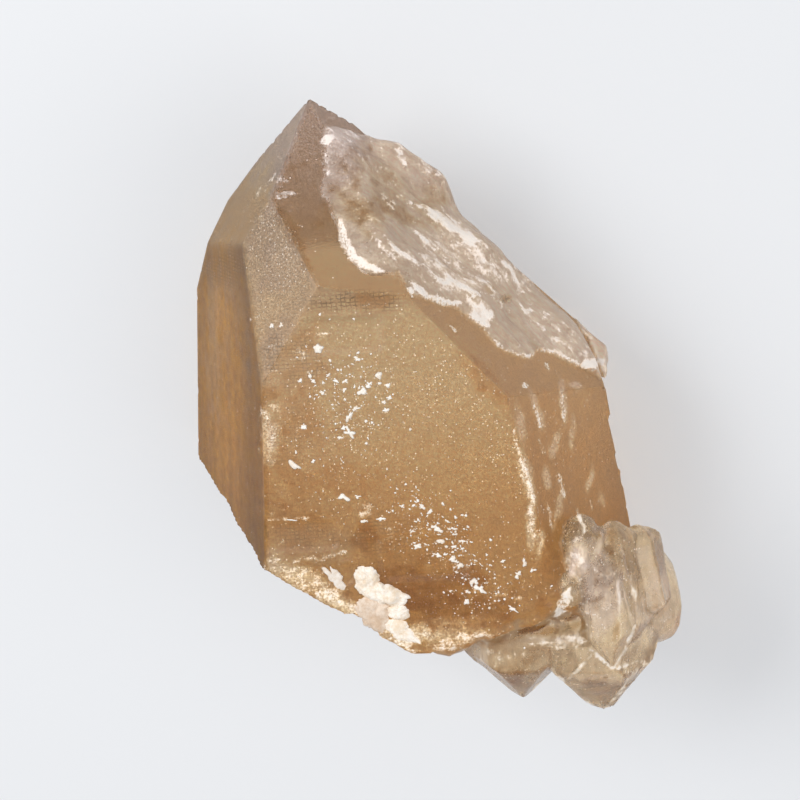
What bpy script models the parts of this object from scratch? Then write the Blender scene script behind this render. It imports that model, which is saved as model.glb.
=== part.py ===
"""A citrine crystal point, lying on the flat prism face at its back.

One large quartz prism with a pointed end, a lumpy overgrowth on its right shoulder, a broken
lower end and a bunch of small crystals grown on its lower right corner, all one solid, and a
separate crust of another mineral on the front face.

The pieces are worked out in millimetres in the crystal's own frame: the origin is the hub in the
middle of the front face, +X to the right across that face, +Y along the crystal's long axis
towards the tip and +Z straight out of the face. The last step moves each piece so that the back
face lies on the ground plane and the origin is under the middle of the object, in metres.
"""
import math

import bmesh
import bpy
import numpy as np
from mathutils import Matrix, Vector

MM = 0.001

# Driving dimensions, in millimetres and degrees.
THICKNESS = 52.0            # front prism face to back prism face
HUB_X = 0.9                 # the hub's place over the middle of the object's box
HUB_Y = 5.8
BLANK = 300.0               # side of the block that a crystal is cut from
CRUST_GAP = 0.3             # clearance between the crust and the front face
SEED = 41

# Crystal faces: name, azimuth about the long axis from +Z towards +X, tilt of the outward normal
# from the long axis, distance from the hub. Quartz has its prism faces at tilt 90 and its main
# end faces at tilt 52; a natural point tapers and departs from both by some degrees.
FACES = (
    ("front prism", 0.0, 90.0, 0.0),
    ("left prism", -61.1, 86.4, 22.2),
    ("right prism", 57.4, 81.2, 16.1),
    ("back left prism", -120.0, 83.0, 60.1),
    ("back right prism", 120.5, 86.8, 41.7),
    ("back prism", 180.0, 90.0, THICKNESS),
    ("end over left", -63.9, 56.8, 33.6),
    ("end over front", 7.4, 56.6, 10.3),
    ("end over right", 62.0, 52.6, 13.4),
    ("end over back right", 120.3, 47.9, 35.7),
    ("end over back left", -119.5, 43.6, 57.7),
    ("end over back", 180.0, 51.8, 49.3),
    ("small face front left", -25.0, 74.0, 11.3),
    ("small face back left", -91.3, 62.2, 48.6),
    ("steep face right", 58.5, 67.5, 15.3),
    ("chipped tip", -20.0, 4.0, 52.0),
)

# The block that overhangs the back right prism face at the foot of the shoulder, as faces.
CORNER_BLOCK = (
    ("end over right", 62.0, 52.6, 13.5),
    ("end over back right", 120.3, 47.9, 35.8),
    ("side", 92.0, 88.0, 35.9),
    ("underside", 140.0, 158.0, 19.2),
    ("front", 0.0, 90.0, -24.5),
    ("left", -90.0, 90.0, -12.0),
    ("back", 172.0, 84.0, 41.0),
)

# Growth ledges: face azimuth, tilt, distance, foot and step along the face's fall line towards
# the tip, depth, middle and width across the face.
LEDGES = (
    (0.0, 90.0, 0.0, -34.0, -21.6, 0.55, -22.0, 15.0),
    (0.0, 90.0, 0.0, -42.0, -25.2, 0.60, 2.0, 15.0),
    (0.0, 90.0, 0.0, -39.5, -30.0, 0.50, -20.5, 17.0),
    (0.0, 90.0, 0.0, -4.0, 15.6, 0.45, -9.5, 13.0),
    (-61.1, 86.4, 22.2, -16.0, 2.5, 0.50, 17.0, 14.0),
    (-61.1, 86.4, 22.2, -4.0, 14.0, 0.45, 33.0, 14.0),
    (180.0, 90.0, THICKNESS, -22.0, -8.0, 0.60, 22.0, 30.0),
    (180.0, 90.0, THICKNESS, -40.0, -28.0, 0.60, 4.0, 26.0),
    (120.5, 86.8, 41.7, -30.0, -12.0, 0.70, -2.0, 26.0),
    (120.5, 86.8, 41.7, -12.0, 2.0, 0.50, 12.0, 22.0),
)

# Overgrowth on the right shoulder, in the plane of the end face over the right prism: s runs
# down along its far edge and w from that edge towards the front.
SHOULDER_FACE = (62.0, 52.6)
SHOULDER_CORNER = (-9.0, 47.9, -25.1)
SHOULDER_LOW_CORNER = (29.5, 7.5, -31.6)
SHOULDER_OUTLINE = (
    (-4.2, 7.6), (-1.4, 10.9), (1.2, 14.6), (2.6, 17.8), (6.1, 20.2), (9.8, 23.0), (12.1, 25.0),
    (15.0, 27.4), (18.7, 28.9), (20.8, 27.8), (23.6, 28.4), (26.6, 29.4), (29.6, 27.0),
    (31.8, 25.5), (35.0, 23.2), (38.4, 23.4), (41.0, 22.6), (43.2, 23.8), (45.2, 24.2),
    (48.4, 22.6), (51.6, 20.6), (52.4, 16.6), (53.8, 14.9), (56.2, 13.5), (59.0, 12.6),
    (61.6, 10.7), (63.4, 10.0), (66.2, 9.6), (65.6, 7.2), (62.6, 5.0), (60.0, 3.2),
    (56.0, 1.6), (48.0, 1.4), (40.0, 0.8), (30.0, -1.2), (25.4, -3.4), (20.0, -4.6),
    (14.0, -4.8), (8.5, -3.6), (5.0, -0.6), (0.4, 2.6),
)
# Lumps of the overgrowth: middle s and w, half length, half width, turn in degrees, height.
SHOULDER_LUMPS = (
    (13.8, -1.2, 8.0, 5.0, 0.0, 3.3),
    (20.8, -0.8, 4.0, 3.6, 0.0, 1.5),
    (4.0, 8.5, 5.5, 3.0, 40.0, 0.6),
    (16.0, 8.0, 8.0, 2.4, 10.0, 0.5),
    (27.0, 6.5, 8.0, 4.6, 8.0, 1.5),
    (35.5, 6.0, 6.5, 5.0, 4.0, 1.9),
    (9.5, 17.0, 5.0, 2.6, 46.0, 0.5),
    (15.5, 24.0, 5.5, 2.6, 40.0, 1.1),
    (26.0, 21.5, 7.0, 3.2, -20.0, 1.2),
    (37.5, 17.0, 4.8, 4.4, 0.0, 1.7),
    (46.5, 19.0, 4.0, 2.8, 0.0, 0.6),
    (56.0, 6.5, 9.5, 4.6, 10.0, 0.9),
)
SHOULDER_STEP = 0.4         # height of the ledge round its outline
SHOULDER_FADE = 2.2         # width of the slope inside the outline
SHOULDER_PITCH = 1.25
SHOULDER_ROOT = 2.6         # how far its solid reaches down into the crystal
SHOULDER_DROP = 4.5         # how far it follows the faces that fall away behind

# The broken lower end: y = level + x * slope_x + z * slope_z on each fracture facet, and the
# highest facet wins.
BREAK_FACETS = (
    (-48.6, -0.636, 0.0),
    (-47.8, 0.02, 0.10),
    (-50.3, 0.518, 0.26),
    (-57.5, -0.08, -0.19),
    (-60.5, -0.42, -0.26),
)
BREAK_PITCH = 2.3
BREAK_RELIEF = 0.6

# Small crystals of the lower right bunch: lower tip, direction from root to tip, roll, half
# widths across and through, length, how steep the end faces are, and unevenness. Both ends are
# pointed, and the roots of the two big ones are buried.
SMALL_CRYSTALS = (
    ("big low crystal", (31.5, -65.0, -15.2), (0.02, -1.0, -0.10), -26.0, (10.4, 9.4), 40.0, 52.0, 0.12),
    ("left low crystal", (16.4, -62.2, -15.0), (-0.02, -1.0, -0.06), 24.0, (9.6, 9.8), 34.0, 48.0, 0.12),
    ("clear pointed crystal", (34.7, -52.9, -4.1), (0.05, -1.0, 0.20), 30.0, (4.5, 4.2), 24.0, 54.0, 0.08),
    ("left blunt crystal", (32.4, -42.4, -5.6), (0.12, -1.0, -0.02), 10.0, (3.7, 3.6), 19.4, 50.0, 0.25),
    ("middle blunt crystal", (38.8, -49.2, -8.0), (0.13, -1.0, -0.04), 24.0, (3.3, 3.9), 24.6, 50.0, 0.22),
    ("right blunt crystal", (42.2, -46.0, -11.6), (0.10, -1.0, -0.05), 12.0, (3.4, 4.2), 19.6, 46.0, 0.25),
)

# Rounded lumps: middle, half sizes along X, Y and Z, turn about Z, noise height.
LUMPS = (
    ("right lobe", (39.6, -42.0, -19.6), (6.9, 11.6, 9.0), 14.0, 0.55),
    ("left top lobe", (30.0, -30.2, -5.4), (3.3, 6.2, 3.9), -8.0, 0.40),
    ("left top foot", (32.6, -37.4, -5.4), (4.2, 5.2, 3.9), 8.0, 0.40),
    ("join right", (27.0, -38.4, -3.9), (3.6, 3.4, 4.2), 30.0, 0.60),
    ("join middle", (22.0, -41.2, -3.6), (5.6, 2.0, 3.6), 26.0, 0.55),
    ("join left", (13.6, -44.3, -3.4), (6.6, 1.7, 3.2), 19.0, 0.50),
    ("join far left", (6.4, -47.3, -3.2), (4.4, 1.4, 2.8), 14.0, 0.40),
    ("join low", (19.0, -47.4, -8.2), (7.4, 2.4, 3.4), 6.0, 0.60),
)
RECESS = ("recess", (25.0, -45.2, -4.0), (5.6, 1.9, 3.6), 10.0, 0.55)

# The mineral crust, in the plane of the front face: outline, and lobes as middle x and y, half
# length, half width, turn and height.
CRUST_OUTLINE = (
    (-10.5, -30.9), (-9.4, -30.6), (-8.3, -30.5), (-6.8, -32.0), (-6.8, -33.5), (-5.1, -34.1),
    (-3.1, -35.5), (-1.8, -35.9), (-0.9, -37.0), (-1.5, -37.9), (-2.9, -38.7), (-1.3, -40.0),
    (-2.2, -40.8), (-2.9, -41.3), (-1.5, -43.3), (-0.6, -45.5), (-2.2, -44.5), (-4.0, -43.4),
    (-6.2, -43.3), (-7.7, -43.0), (-9.6, -40.9), (-11.3, -39.2), (-11.5, -37.9), (-10.8, -36.6),
    (-10.7, -34.0), (-10.8, -32.5),
)
CRUST_LOBES = (
    (-8.7, -33.0, 2.2, 2.6, 0.0, 0.9),
    (-4.6, -36.2, 3.6, 1.5, -24.0, 0.8),
    (-8.4, -39.4, 2.8, 2.0, -30.0, 0.6),
    (-3.4, -39.9, 2.2, 1.0, -8.0, 0.5),
    (-4.6, -42.2, 2.0, 1.1, -20.0, 0.5),
)
CRUST_HEIGHT = 0.5
CRUST_PITCH = 0.8

# Finish: linear base colour, roughness, metallic.
QUARTZ_LOOK = ((0.47, 0.30, 0.15, 1.0), 0.35, 0.0)
CRUST_LOOK = ((0.87, 0.78, 0.66, 1.0), 0.75, 0.0)


def face_normal(azimuth, tilt):
    """Return the outward normal of a crystal face, given its azimuth and tilt in degrees."""
    turn = math.radians(azimuth)
    lean = math.radians(tilt)
    return np.array((math.sin(lean) * math.sin(turn), math.cos(lean), math.sin(lean) * math.cos(turn)))


def waves(points, size, seed, count=14):
    """Return smooth noise of about unit height: a sum of seeded plane waves.

    The waves' lengths spread about the given size, so the bumps are about half of it across.
    """
    rng = np.random.default_rng(seed)
    directions = rng.normal(size=(count, 3))
    directions /= np.linalg.norm(directions, axis=1, keepdims=True)
    lengths = size * rng.uniform(0.7, 1.5, count)
    phases = rng.uniform(0.0, math.tau, count)
    angles = points @ (directions / lengths[:, None]).T * math.tau + phases
    return np.sin(angles).sum(axis=1) / math.sqrt(count)


def object_from(name, bm):
    """Make an object with this name from a bmesh, which is freed."""
    mesh = bpy.data.meshes.new(name)
    bmesh.ops.recalc_face_normals(bm, faces=bm.faces)
    bm.to_mesh(mesh)
    bm.free()
    made = bpy.data.objects.new(name, mesh)
    bpy.context.scene.collection.objects.link(made)
    return made


def cut_off(bm, point, normal):
    """Cut a closed convex shape by a plane, drop what lies on the normal's side and cap it."""
    shape = bm.verts[:] + bm.edges[:] + bm.faces[:]
    bmesh.ops.bisect_plane(bm, geom=shape, dist=1e-6, plane_co=point, plane_no=normal,
                           clear_outer=True)
    rim = [edge for edge in bm.edges if edge.is_boundary]
    if rim:
        bmesh.ops.holes_fill(bm, edges=rim, sides=0)


def cut_crystal(name, planes, centre):
    """Cut a block down to the crystal that the planes bound, each a point and a normal."""
    bm = bmesh.new()
    bmesh.ops.create_cube(bm, size=BLANK, matrix=Matrix.Translation(centre))
    for point, normal in planes:
        cut_off(bm, Vector(point), Vector(normal))
    bmesh.ops.dissolve_degenerate(bm, dist=1e-5, edges=bm.edges)
    return object_from(name, bm)


def combine(target, tool, operation):
    """Join a tool to the target or carve it out, keep the result and remove the tool."""
    step = target.modifiers.new("combine", "BOOLEAN")
    step.object = tool
    step.operation = operation
    step.solver = "EXACT"
    graph = bpy.context.evaluated_depsgraph_get()
    result = bpy.data.meshes.new_from_object(target.evaluated_get(graph))
    target.modifiers.clear()
    spent = target.data
    target.data = result
    bpy.data.meshes.remove(spent)
    bpy.data.objects.remove(tool, do_unlink=True)


def faceted(name, faces):
    """Cut a crystal from its table of faces."""
    planes = []
    for _, azimuth, tilt, distance in faces:
        normal = face_normal(azimuth, tilt)
        planes.append((normal * distance, normal))
    return cut_crystal(name, planes, (0.0, 0.0, 0.0))


def outer_depth(points, direction):
    """Return how far each point can travel along a direction before it leaves the crystal."""
    depth = np.full(len(points), 1e3)
    for _, azimuth, tilt, distance in FACES:
        normal = face_normal(azimuth, tilt)
        slope = float(normal @ direction)
        if slope > 0.05:
            depth = np.minimum(depth, (distance - points @ normal) / slope)
    return depth


def edge_distance(points, outline):
    """Return each point's distance to the nearest side of a closed outline."""
    corners = np.array(outline)
    nearest = np.full(len(points), BLANK)
    for start, end in zip(corners, np.roll(corners, -1, axis=0)):
        run = end - start
        along = np.clip((points - start) @ run / (run @ run), 0.0, 1.0)
        nearest = np.minimum(nearest, np.linalg.norm(points - start - along[:, None] * run, axis=1))
    return nearest


def lobes(points, table):
    """Return the height of a set of rounded lobes over a plane, each a turned bell shape."""
    height = np.zeros(len(points))
    for middle_u, middle_v, half_length, half_width, turn, top in table:
        angle = math.radians(turn)
        offset = points - np.array((middle_u, middle_v))
        along = offset[:, 0] * math.cos(angle) + offset[:, 1] * math.sin(angle)
        across = offset[:, 1] * math.cos(angle) - offset[:, 0] * math.sin(angle)
        reach = (along / half_length) ** 2 + (across / half_width) ** 2
        height += top * np.exp(-reach * reach)
    return height


def plane_grid(outline, pitch, margin=1.5):
    """Return a grid of points over an outline's box as an array of u and v, its rows and columns."""
    low = np.min(outline, axis=0) - margin
    high = np.max(outline, axis=0) + margin
    u_grid, v_grid = np.meshgrid(np.arange(low[0], high[0] + pitch, pitch),
                                 np.arange(low[1], high[1] + pitch, pitch))
    return np.stack((u_grid.ravel(), v_grid.ravel()), axis=1), u_grid.shape


def height_solid(name, shape, top, bottom):
    """Make a closed solid between two equal grids of points, given as flat arrays of places."""
    rows, columns = shape
    bm = bmesh.new()
    lids = [[bm.verts.new(place) for place in lid] for lid in (top, bottom)]

    def quad(lid, row, column):
        first = row * columns + column
        return (lid[first], lid[first + 1], lid[first + columns + 1], lid[first + columns])

    for row in range(rows - 1):
        for column in range(columns - 1):
            bm.faces.new(quad(lids[0], row, column))
            bm.faces.new(reversed(quad(lids[1], row, column)))
    rim = list(range(columns))
    rim += [row * columns + columns - 1 for row in range(1, rows)]
    rim += [(rows - 1) * columns + column for column in range(columns - 2, -1, -1)]
    rim += [row * columns for row in range(rows - 2, 0, -1)]
    for here, there in zip(rim, rim[1:] + rim[:1]):
        bm.faces.new((lids[0][there], lids[0][here], lids[1][here], lids[1][there]))
    bmesh.ops.triangulate(bm, faces=bm.faces)
    return object_from(name, bm)


def outline_prism(name, outline, frame, low, high):
    """Make a straight prism over a closed outline, between two heights over its plane."""
    corner, u_axis, v_axis, out = frame
    bm = bmesh.new()
    ends = []
    for height in (low, high):
        places = [corner + u * u_axis + v * v_axis + height * out for u, v in outline]
        ends.append([bm.verts.new(place) for place in places])
    for ring in ends:
        bm.faces.new(ring)
    for index in range(len(outline)):
        after = (index + 1) % len(outline)
        bm.faces.new((ends[0][index], ends[0][after], ends[1][after], ends[1][index]))
    bmesh.ops.triangulate(bm, faces=bm.faces)
    return object_from(name, bm)


def shoulder_frame():
    """Return the shoulder's corner and its unit vectors along s, along w and outwards."""
    corner = np.array(SHOULDER_CORNER)
    out = face_normal(*SHOULDER_FACE)
    along = np.array(SHOULDER_LOW_CORNER) - corner
    along -= out * float(along @ out)
    along /= np.linalg.norm(along)
    return corner, along, np.cross(along, out), out


def shoulder_overgrowth():
    """Make the lumpy overgrowth as a skin over the crystal's own faces.

    Its height over them is a step at the outline, which rises over a short slope to the lumps and
    some seeded unevenness, drawn out along the face's far edge.
    """
    frame = shoulder_frame()
    corner, along, across, out = frame
    flat, shape = plane_grid(SHOULDER_OUTLINE, SHOULDER_PITCH)
    base = corner + flat[:, :1] * along + flat[:, 1:] * across
    depth = np.maximum(outer_depth(base, out), -SHOULDER_DROP)
    fade = np.clip(edge_distance(flat, SHOULDER_OUTLINE) / SHOULDER_FADE, 0.0, 1.0)
    drawn = np.stack((flat[:, 0] * 0.5, flat[:, 1], np.zeros(len(flat))), axis=1)
    rough = 0.22 * waves(drawn, 5.5, SEED) + 0.12 * waves(drawn, 3.0, SEED + 1)
    height = SHOULDER_STEP + fade * (0.3 + lobes(flat, SHOULDER_LUMPS) + rough)
    top = base + (depth + np.maximum(height, 0.25))[:, None] * out
    bottom = base + (depth - SHOULDER_ROOT)[:, None] * out
    skin = height_solid("overgrowth", shape, top, bottom)
    reach = SHOULDER_DROP + SHOULDER_ROOT + 6.0
    combine(skin, outline_prism("trim", SHOULDER_OUTLINE, frame, -reach, reach), "INTERSECT")
    return skin


def broken_end():
    """Make the block that leaves the rough fracture when it is taken off the lower end."""
    x_line = np.arange(-76.0, 70.0, BREAK_PITCH)
    z_line = np.arange(-THICKNESS - 4.0, 6.0, BREAK_PITCH)
    x_grid, z_grid = np.meshgrid(x_line, z_line)
    x_flat = x_grid.ravel()
    z_flat = z_grid.ravel()
    facets = [level + slope_x * x_flat + slope_z * z_flat for level, slope_x, slope_z in BREAK_FACETS]
    height = np.max(facets, axis=0)
    points = np.stack((x_flat, height, z_flat), axis=1)
    ridges = np.abs(waves(points, 15.0, SEED + 2)) - 0.7
    height += BREAK_RELIEF * (1.6 * ridges + 0.6 * waves(points, 6.0, SEED + 3))
    top = np.stack((x_flat, height, z_flat), axis=1)
    bottom = np.stack((x_flat, np.full_like(x_flat, -BLANK), z_flat), axis=1)
    return height_solid("break", x_grid.shape, top, bottom)


def growth_ledge(azimuth, tilt, distance, foot, step, depth, middle, width):
    """Make the thin wedge that leaves one growth ledge when it is carved out of a face."""
    normal = face_normal(azimuth, tilt)
    upward = np.array((0.0, 1.0, 0.0)) - normal * normal[1]
    upward /= np.linalg.norm(upward)
    across = np.cross(upward, normal)
    slope = depth / (step - foot)
    lead = 2.0
    profile = ((foot - lead, slope * lead), (step, -depth), (step + 1.2, 1.4), (foot - lead, 1.4))
    bm = bmesh.new()
    ends = []
    for side in (-0.5, 0.5):
        ring = []
        for run, rise in profile:
            skew = 1.0 + (0.25 if run == step else 0.0)
            place = normal * (distance + rise) + upward * run + across * (middle + side * width * skew)
            ring.append(bm.verts.new(place))
        ends.append(ring)
    bm.faces.new(ends[0])
    bm.faces.new(reversed(ends[1]))
    for index in range(len(profile)):
        after = (index + 1) % len(profile)
        bm.faces.new((ends[0][index], ends[1][index], ends[1][after], ends[0][after]))
    bmesh.ops.triangulate(bm, faces=bm.faces)
    return object_from("ledge", bm)


def roughen(made, height, size, seed):
    """Move a piece's points along their normals by seeded noise of the given height and size."""
    places = np.array([vert.co[:] for vert in made.data.vertices])
    normals = np.array([vert.normal[:] for vert in made.data.vertices])
    places += normals * (height * waves(places, size, seed))[:, None]
    made.data.vertices.foreach_set("co", places.ravel())
    made.data.update()


def small_crystal(name, tip, direction, roll, halves, length, steepness, uneven):
    """Cut a small six-sided crystal, pointed at both ends, whose lower tip is at tip."""
    axis = Vector(direction).normalized()
    sideways = Vector((0.0, 0.0, 1.0)).cross(axis).normalized()
    sideways = Matrix.Rotation(math.radians(roll), 3, axis) @ sideways
    through = axis.cross(sideways)
    tip = Vector(tip)
    planes = []
    lean = math.radians(steepness)
    for index in range(6):
        angle = math.radians(60.0 * index)
        radial = sideways * math.cos(angle) + through * math.sin(angle)
        flatness = abs(math.sin(angle))
        half = halves[0] * (1.0 - flatness) + halves[1] * flatness
        planes.append((tip + radial * half, radial))
        setback = 0.0 if index % 2 == 0 else 0.16 * half
        end = radial * math.sin(lean)
        planes.append((tip + axis * setback, end + axis * math.cos(lean)))
        planes.append((tip - axis * (length - 0.1 * half + setback), end - axis * math.cos(lean)))
    made = cut_crystal(name, planes, tip)
    bm = bmesh.new()
    bm.from_mesh(made.data)
    bmesh.ops.subdivide_edges(bm, edges=bm.edges, cuts=1, use_grid_fill=True)
    bmesh.ops.triangulate(bm, faces=bm.faces)
    bm.to_mesh(made.data)
    bm.free()
    roughen(made, uneven, 5.0, SEED + 7)
    return made


def lump(name, middle, halves, turn, uneven):
    """Make a rounded lump: an ellipsoid with seeded unevenness."""
    bm = bmesh.new()
    bmesh.ops.create_icosphere(bm, subdivisions=3, radius=1.0)
    spin = Matrix.Rotation(math.radians(turn), 4, "Z")
    bm.transform(Matrix.Translation(middle) @ spin @ Matrix.Diagonal((*halves, 1.0)))
    made = object_from(name, bm)
    roughen(made, uneven, 1.7 * min(halves), SEED + 5)
    return made


def mineral_crust():
    """Make the crust: a thin uneven plate with lobes, just clear of the front face."""
    frame = (np.zeros(3), np.array((1.0, 0.0, 0.0)), np.array((0.0, 1.0, 0.0)), np.array((0.0, 0.0, 1.0)))
    flat, shape = plane_grid(CRUST_OUTLINE, CRUST_PITCH)
    height = CRUST_GAP + CRUST_HEIGHT + lobes(flat, CRUST_LOBES)
    fade = np.clip(edge_distance(flat, CRUST_OUTLINE) / CRUST_PITCH, 0.6, 1.0)
    top = np.column_stack((flat, height * fade))
    bottom = np.column_stack((flat, np.full(len(flat), -1.0)))
    crust = height_solid("mineral_crust", shape, top, bottom)
    combine(crust, outline_prism("trim", CRUST_OUTLINE, frame, CRUST_GAP, 5.0), "INTERSECT")
    return crust


def finish(made, look):
    """Move a piece from the crystal's frame to the part's frame, in metres, and dress it."""
    colour, roughness, metallic = look
    shift = Matrix.Translation((HUB_X, HUB_Y, THICKNESS))
    made.data.transform(Matrix.Scale(MM, 4) @ shift)
    made.data.update()
    material = bpy.data.materials.new(made.name)
    material.use_nodes = True
    shader = material.node_tree.nodes["Principled BSDF"]
    shader.inputs["Base Color"].default_value = colour
    shader.inputs["Roughness"].default_value = roughness
    shader.inputs["Metallic"].default_value = metallic
    made.data.materials.clear()
    made.data.materials.append(material)


def build():
    """Build the joined crystal and its crust."""
    for old in list(bpy.data.objects):
        bpy.data.objects.remove(old, do_unlink=True)
    crystal = faceted("crystal_point", FACES)
    combine(crystal, faceted("corner block", CORNER_BLOCK), "UNION")
    for ledge in LEDGES:
        combine(crystal, growth_ledge(*ledge), "DIFFERENCE")
    combine(crystal, broken_end(), "DIFFERENCE")
    combine(crystal, shoulder_overgrowth(), "UNION")
    for small in SMALL_CRYSTALS[:2]:
        combine(crystal, small_crystal(*small), "UNION")
    combine(crystal, lump(*RECESS), "DIFFERENCE")
    for small in SMALL_CRYSTALS[2:]:
        combine(crystal, small_crystal(*small), "UNION")
    for one in LUMPS:
        combine(crystal, lump(*one), "UNION")
    finish(crystal, QUARTZ_LOOK)
    finish(mineral_crust(), CRUST_LOOK)


build()
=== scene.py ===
"""The looks of a citrine crystal point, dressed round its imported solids.

A smoky golden quartz point lies on its flat back prism face. Its faces are etched, with growth
lines across them. A lumpy, milky overgrowth covers the right shoulder, a bunch of small crystals
sits at the lower right corner, and the lower end is broken. A cream crust, a thin flake and many
small white grains of other minerals lie on the front face.

Lengths are millimetres in the crystal's own frame, as in the part's source: the origin is the hub
in the middle of the front face, +X to the right across it, +Y towards the tip and +Z out of it.
Meshes are moved to the part's frame, in metres, when they are written.
"""
from __future__ import annotations

import itertools
import logging
import math
from dataclasses import dataclass, field
from enum import Enum, IntEnum
from functools import partial

import bmesh
import bpy
import numpy as np
from mathutils import Matrix, Vector
from mathutils.bvhtree import BVHTree


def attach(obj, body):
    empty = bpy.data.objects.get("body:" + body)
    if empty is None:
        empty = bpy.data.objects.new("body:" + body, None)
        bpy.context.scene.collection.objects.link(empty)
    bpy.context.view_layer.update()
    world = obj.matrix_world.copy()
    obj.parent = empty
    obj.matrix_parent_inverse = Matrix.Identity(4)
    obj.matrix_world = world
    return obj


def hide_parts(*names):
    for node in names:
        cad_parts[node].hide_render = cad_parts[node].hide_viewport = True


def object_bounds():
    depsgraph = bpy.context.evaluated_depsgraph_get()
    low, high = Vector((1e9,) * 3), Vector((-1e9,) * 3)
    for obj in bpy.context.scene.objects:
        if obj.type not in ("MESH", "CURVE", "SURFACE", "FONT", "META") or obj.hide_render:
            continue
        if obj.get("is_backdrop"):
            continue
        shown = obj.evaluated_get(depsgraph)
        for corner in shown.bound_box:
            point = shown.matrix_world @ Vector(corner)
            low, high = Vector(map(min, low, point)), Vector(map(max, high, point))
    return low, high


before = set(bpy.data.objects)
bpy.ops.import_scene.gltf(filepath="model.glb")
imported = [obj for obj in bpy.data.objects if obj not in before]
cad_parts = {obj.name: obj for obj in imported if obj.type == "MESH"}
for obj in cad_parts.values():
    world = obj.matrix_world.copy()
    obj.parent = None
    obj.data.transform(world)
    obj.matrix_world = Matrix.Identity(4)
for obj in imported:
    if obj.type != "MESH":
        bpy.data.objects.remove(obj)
CAD_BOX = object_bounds()

log = logging.getLogger("citrine")

MM = 0.001
THICKNESS = 52.0                                # front prism face to back prism face
HUB = np.array((0.9, 5.8, THICKNESS))           # the hub's place in the part's frame


# ---- Shared helpers: numbers -----------------------------------------------------------------

class Seed(IntEnum):
    """What each pattern of noise or chance is drawn from, so that it comes out the same again."""

    FRACTURE = 3
    RIDGES = 5
    GRAINS = 7
    RIPPLES = 8
    DUST = 9
    SCALLOPS = 11
    LONG_LUMPS = 21
    SMALL_LUMPS = 23
    FACES = 31
    RAGGED = 41
    RAGGED_FINE = 43
    LOBES = 50
    SWARMS = 60
    BANDS = 71
    FLAKE = 80


HASH_PRIMES = (73856093, 19349663, 83492791)    # mix a cell's three numbers into one
SEED_PRIME = 40503
STIR_PRIME = 1274126177
SEED_SHIFT = 0.37                               # how far a seed moves the cells, in cells
OCTAVE_STEP = 17                                # from one octave's seed to the next


def smoothstep(low: float, high: float, value: np.ndarray) -> np.ndarray:
    """Rise from 0 at low to 1 at high, by the cubic 3t² - 2t³.

    Args:
        low: Where the rise starts.
        high: Where it ends. It may be below low, for a fall.
        value: The values to map.

    Returns:
        The mapped values, 0 to 1.
    """
    t = np.clip((value - low) / (high - low), 0.0, 1.0)
    return t * t * (3.0 - 2.0 * t)


def noise(points: np.ndarray, size: float | tuple[float, ...], seed: int) -> np.ndarray:
    """Smooth lattice noise, -1 to 1.

    Space is cut into cells of the given size. Each corner has a hashed value, and the eight
    corner values round a point are blended by the cubic fade along each axis.

    Args:
        points: Positions, one row each.
        size: The cells' size, one number or one for each axis.
        seed: Chooses the pattern.

    Returns:
        One value for each point.
    """
    scaled = points / np.asarray(size) + SEED_SHIFT * seed
    cell = np.floor(scaled).astype(np.int64)
    t = scaled - cell
    t = t * t * (3.0 - 2.0 * t)
    total = np.zeros(len(points))
    for corner in itertools.product((0, 1), repeat=3):
        mixed = np.bitwise_xor.reduce((cell + corner) * HASH_PRIMES, axis=1) ^ (seed * SEED_PRIME)
        mixed = ((mixed ^ (mixed >> 13)) * STIR_PRIME) & 0xFFFFFFFF
        value = ((mixed ^ (mixed >> 16)) & 0xFFFF) / 32767.5 - 1.0
        total += value * np.prod(np.where(corner, t, 1.0 - t), axis=1)
    return total


def fractal(points: np.ndarray, size: float | tuple[float, ...], seed: int, octaves: int = 3) -> np.ndarray:
    """Sum noise of halving size and height, so that large bumps carry small ones.

    The sum is divided by 1.5, which keeps it within about -1 and 1.

    Args:
        points: Positions, one row each.
        size: The largest cells' size.
        seed: Chooses the pattern.
        octaves: How many sizes are summed.

    Returns:
        One value for each point, about -1 to 1.
    """
    total = np.zeros(len(points))
    for k in range(octaves):
        total += noise(points, np.asarray(size) / 2.0 ** k, seed + OCTAVE_STEP * k) / 2.0 ** k
    return total / 1.5


def each_of(kind: type, *rows: tuple) -> tuple:
    """Make one thing of a kind from each row of its values, in the order of its fields."""
    return tuple(kind(*row) for row in rows)


# ---- Shared helpers: meshes ------------------------------------------------------------------

def mesh_object(name: str, points: np.ndarray, faces: np.ndarray, smooth: bool = True) -> bpy.types.Object:
    """Make a mesh object from arrays, moved to the part's frame and to metres.

    Args:
        name: The piece's name.
        points: Vertices in the crystal's frame, in millimetres.
        faces: Vertex numbers, three or four to a row.
        smooth: Whether the faces are shaded smooth.

    Returns:
        The object, linked to the scene, at the origin.
    """
    mesh = bpy.data.meshes.new(name)
    placed = (points + HUB) * MM
    sides = faces.shape[1]
    mesh.vertices.add(len(placed))
    mesh.vertices.foreach_set("co", placed.astype(np.float32).ravel())
    mesh.loops.add(faces.size)
    mesh.loops.foreach_set("vertex_index", faces.astype(np.int32).ravel())
    mesh.polygons.add(len(faces))
    mesh.polygons.foreach_set("loop_start", np.arange(0, faces.size, sides, dtype=np.int32))
    mesh.polygons.foreach_set("use_smooth", np.full(len(faces), smooth))
    mesh.update(calc_edges=True)
    mesh.validate()
    made = bpy.data.objects.new(name, mesh)
    bpy.context.scene.collection.objects.link(made)
    return made


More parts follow.
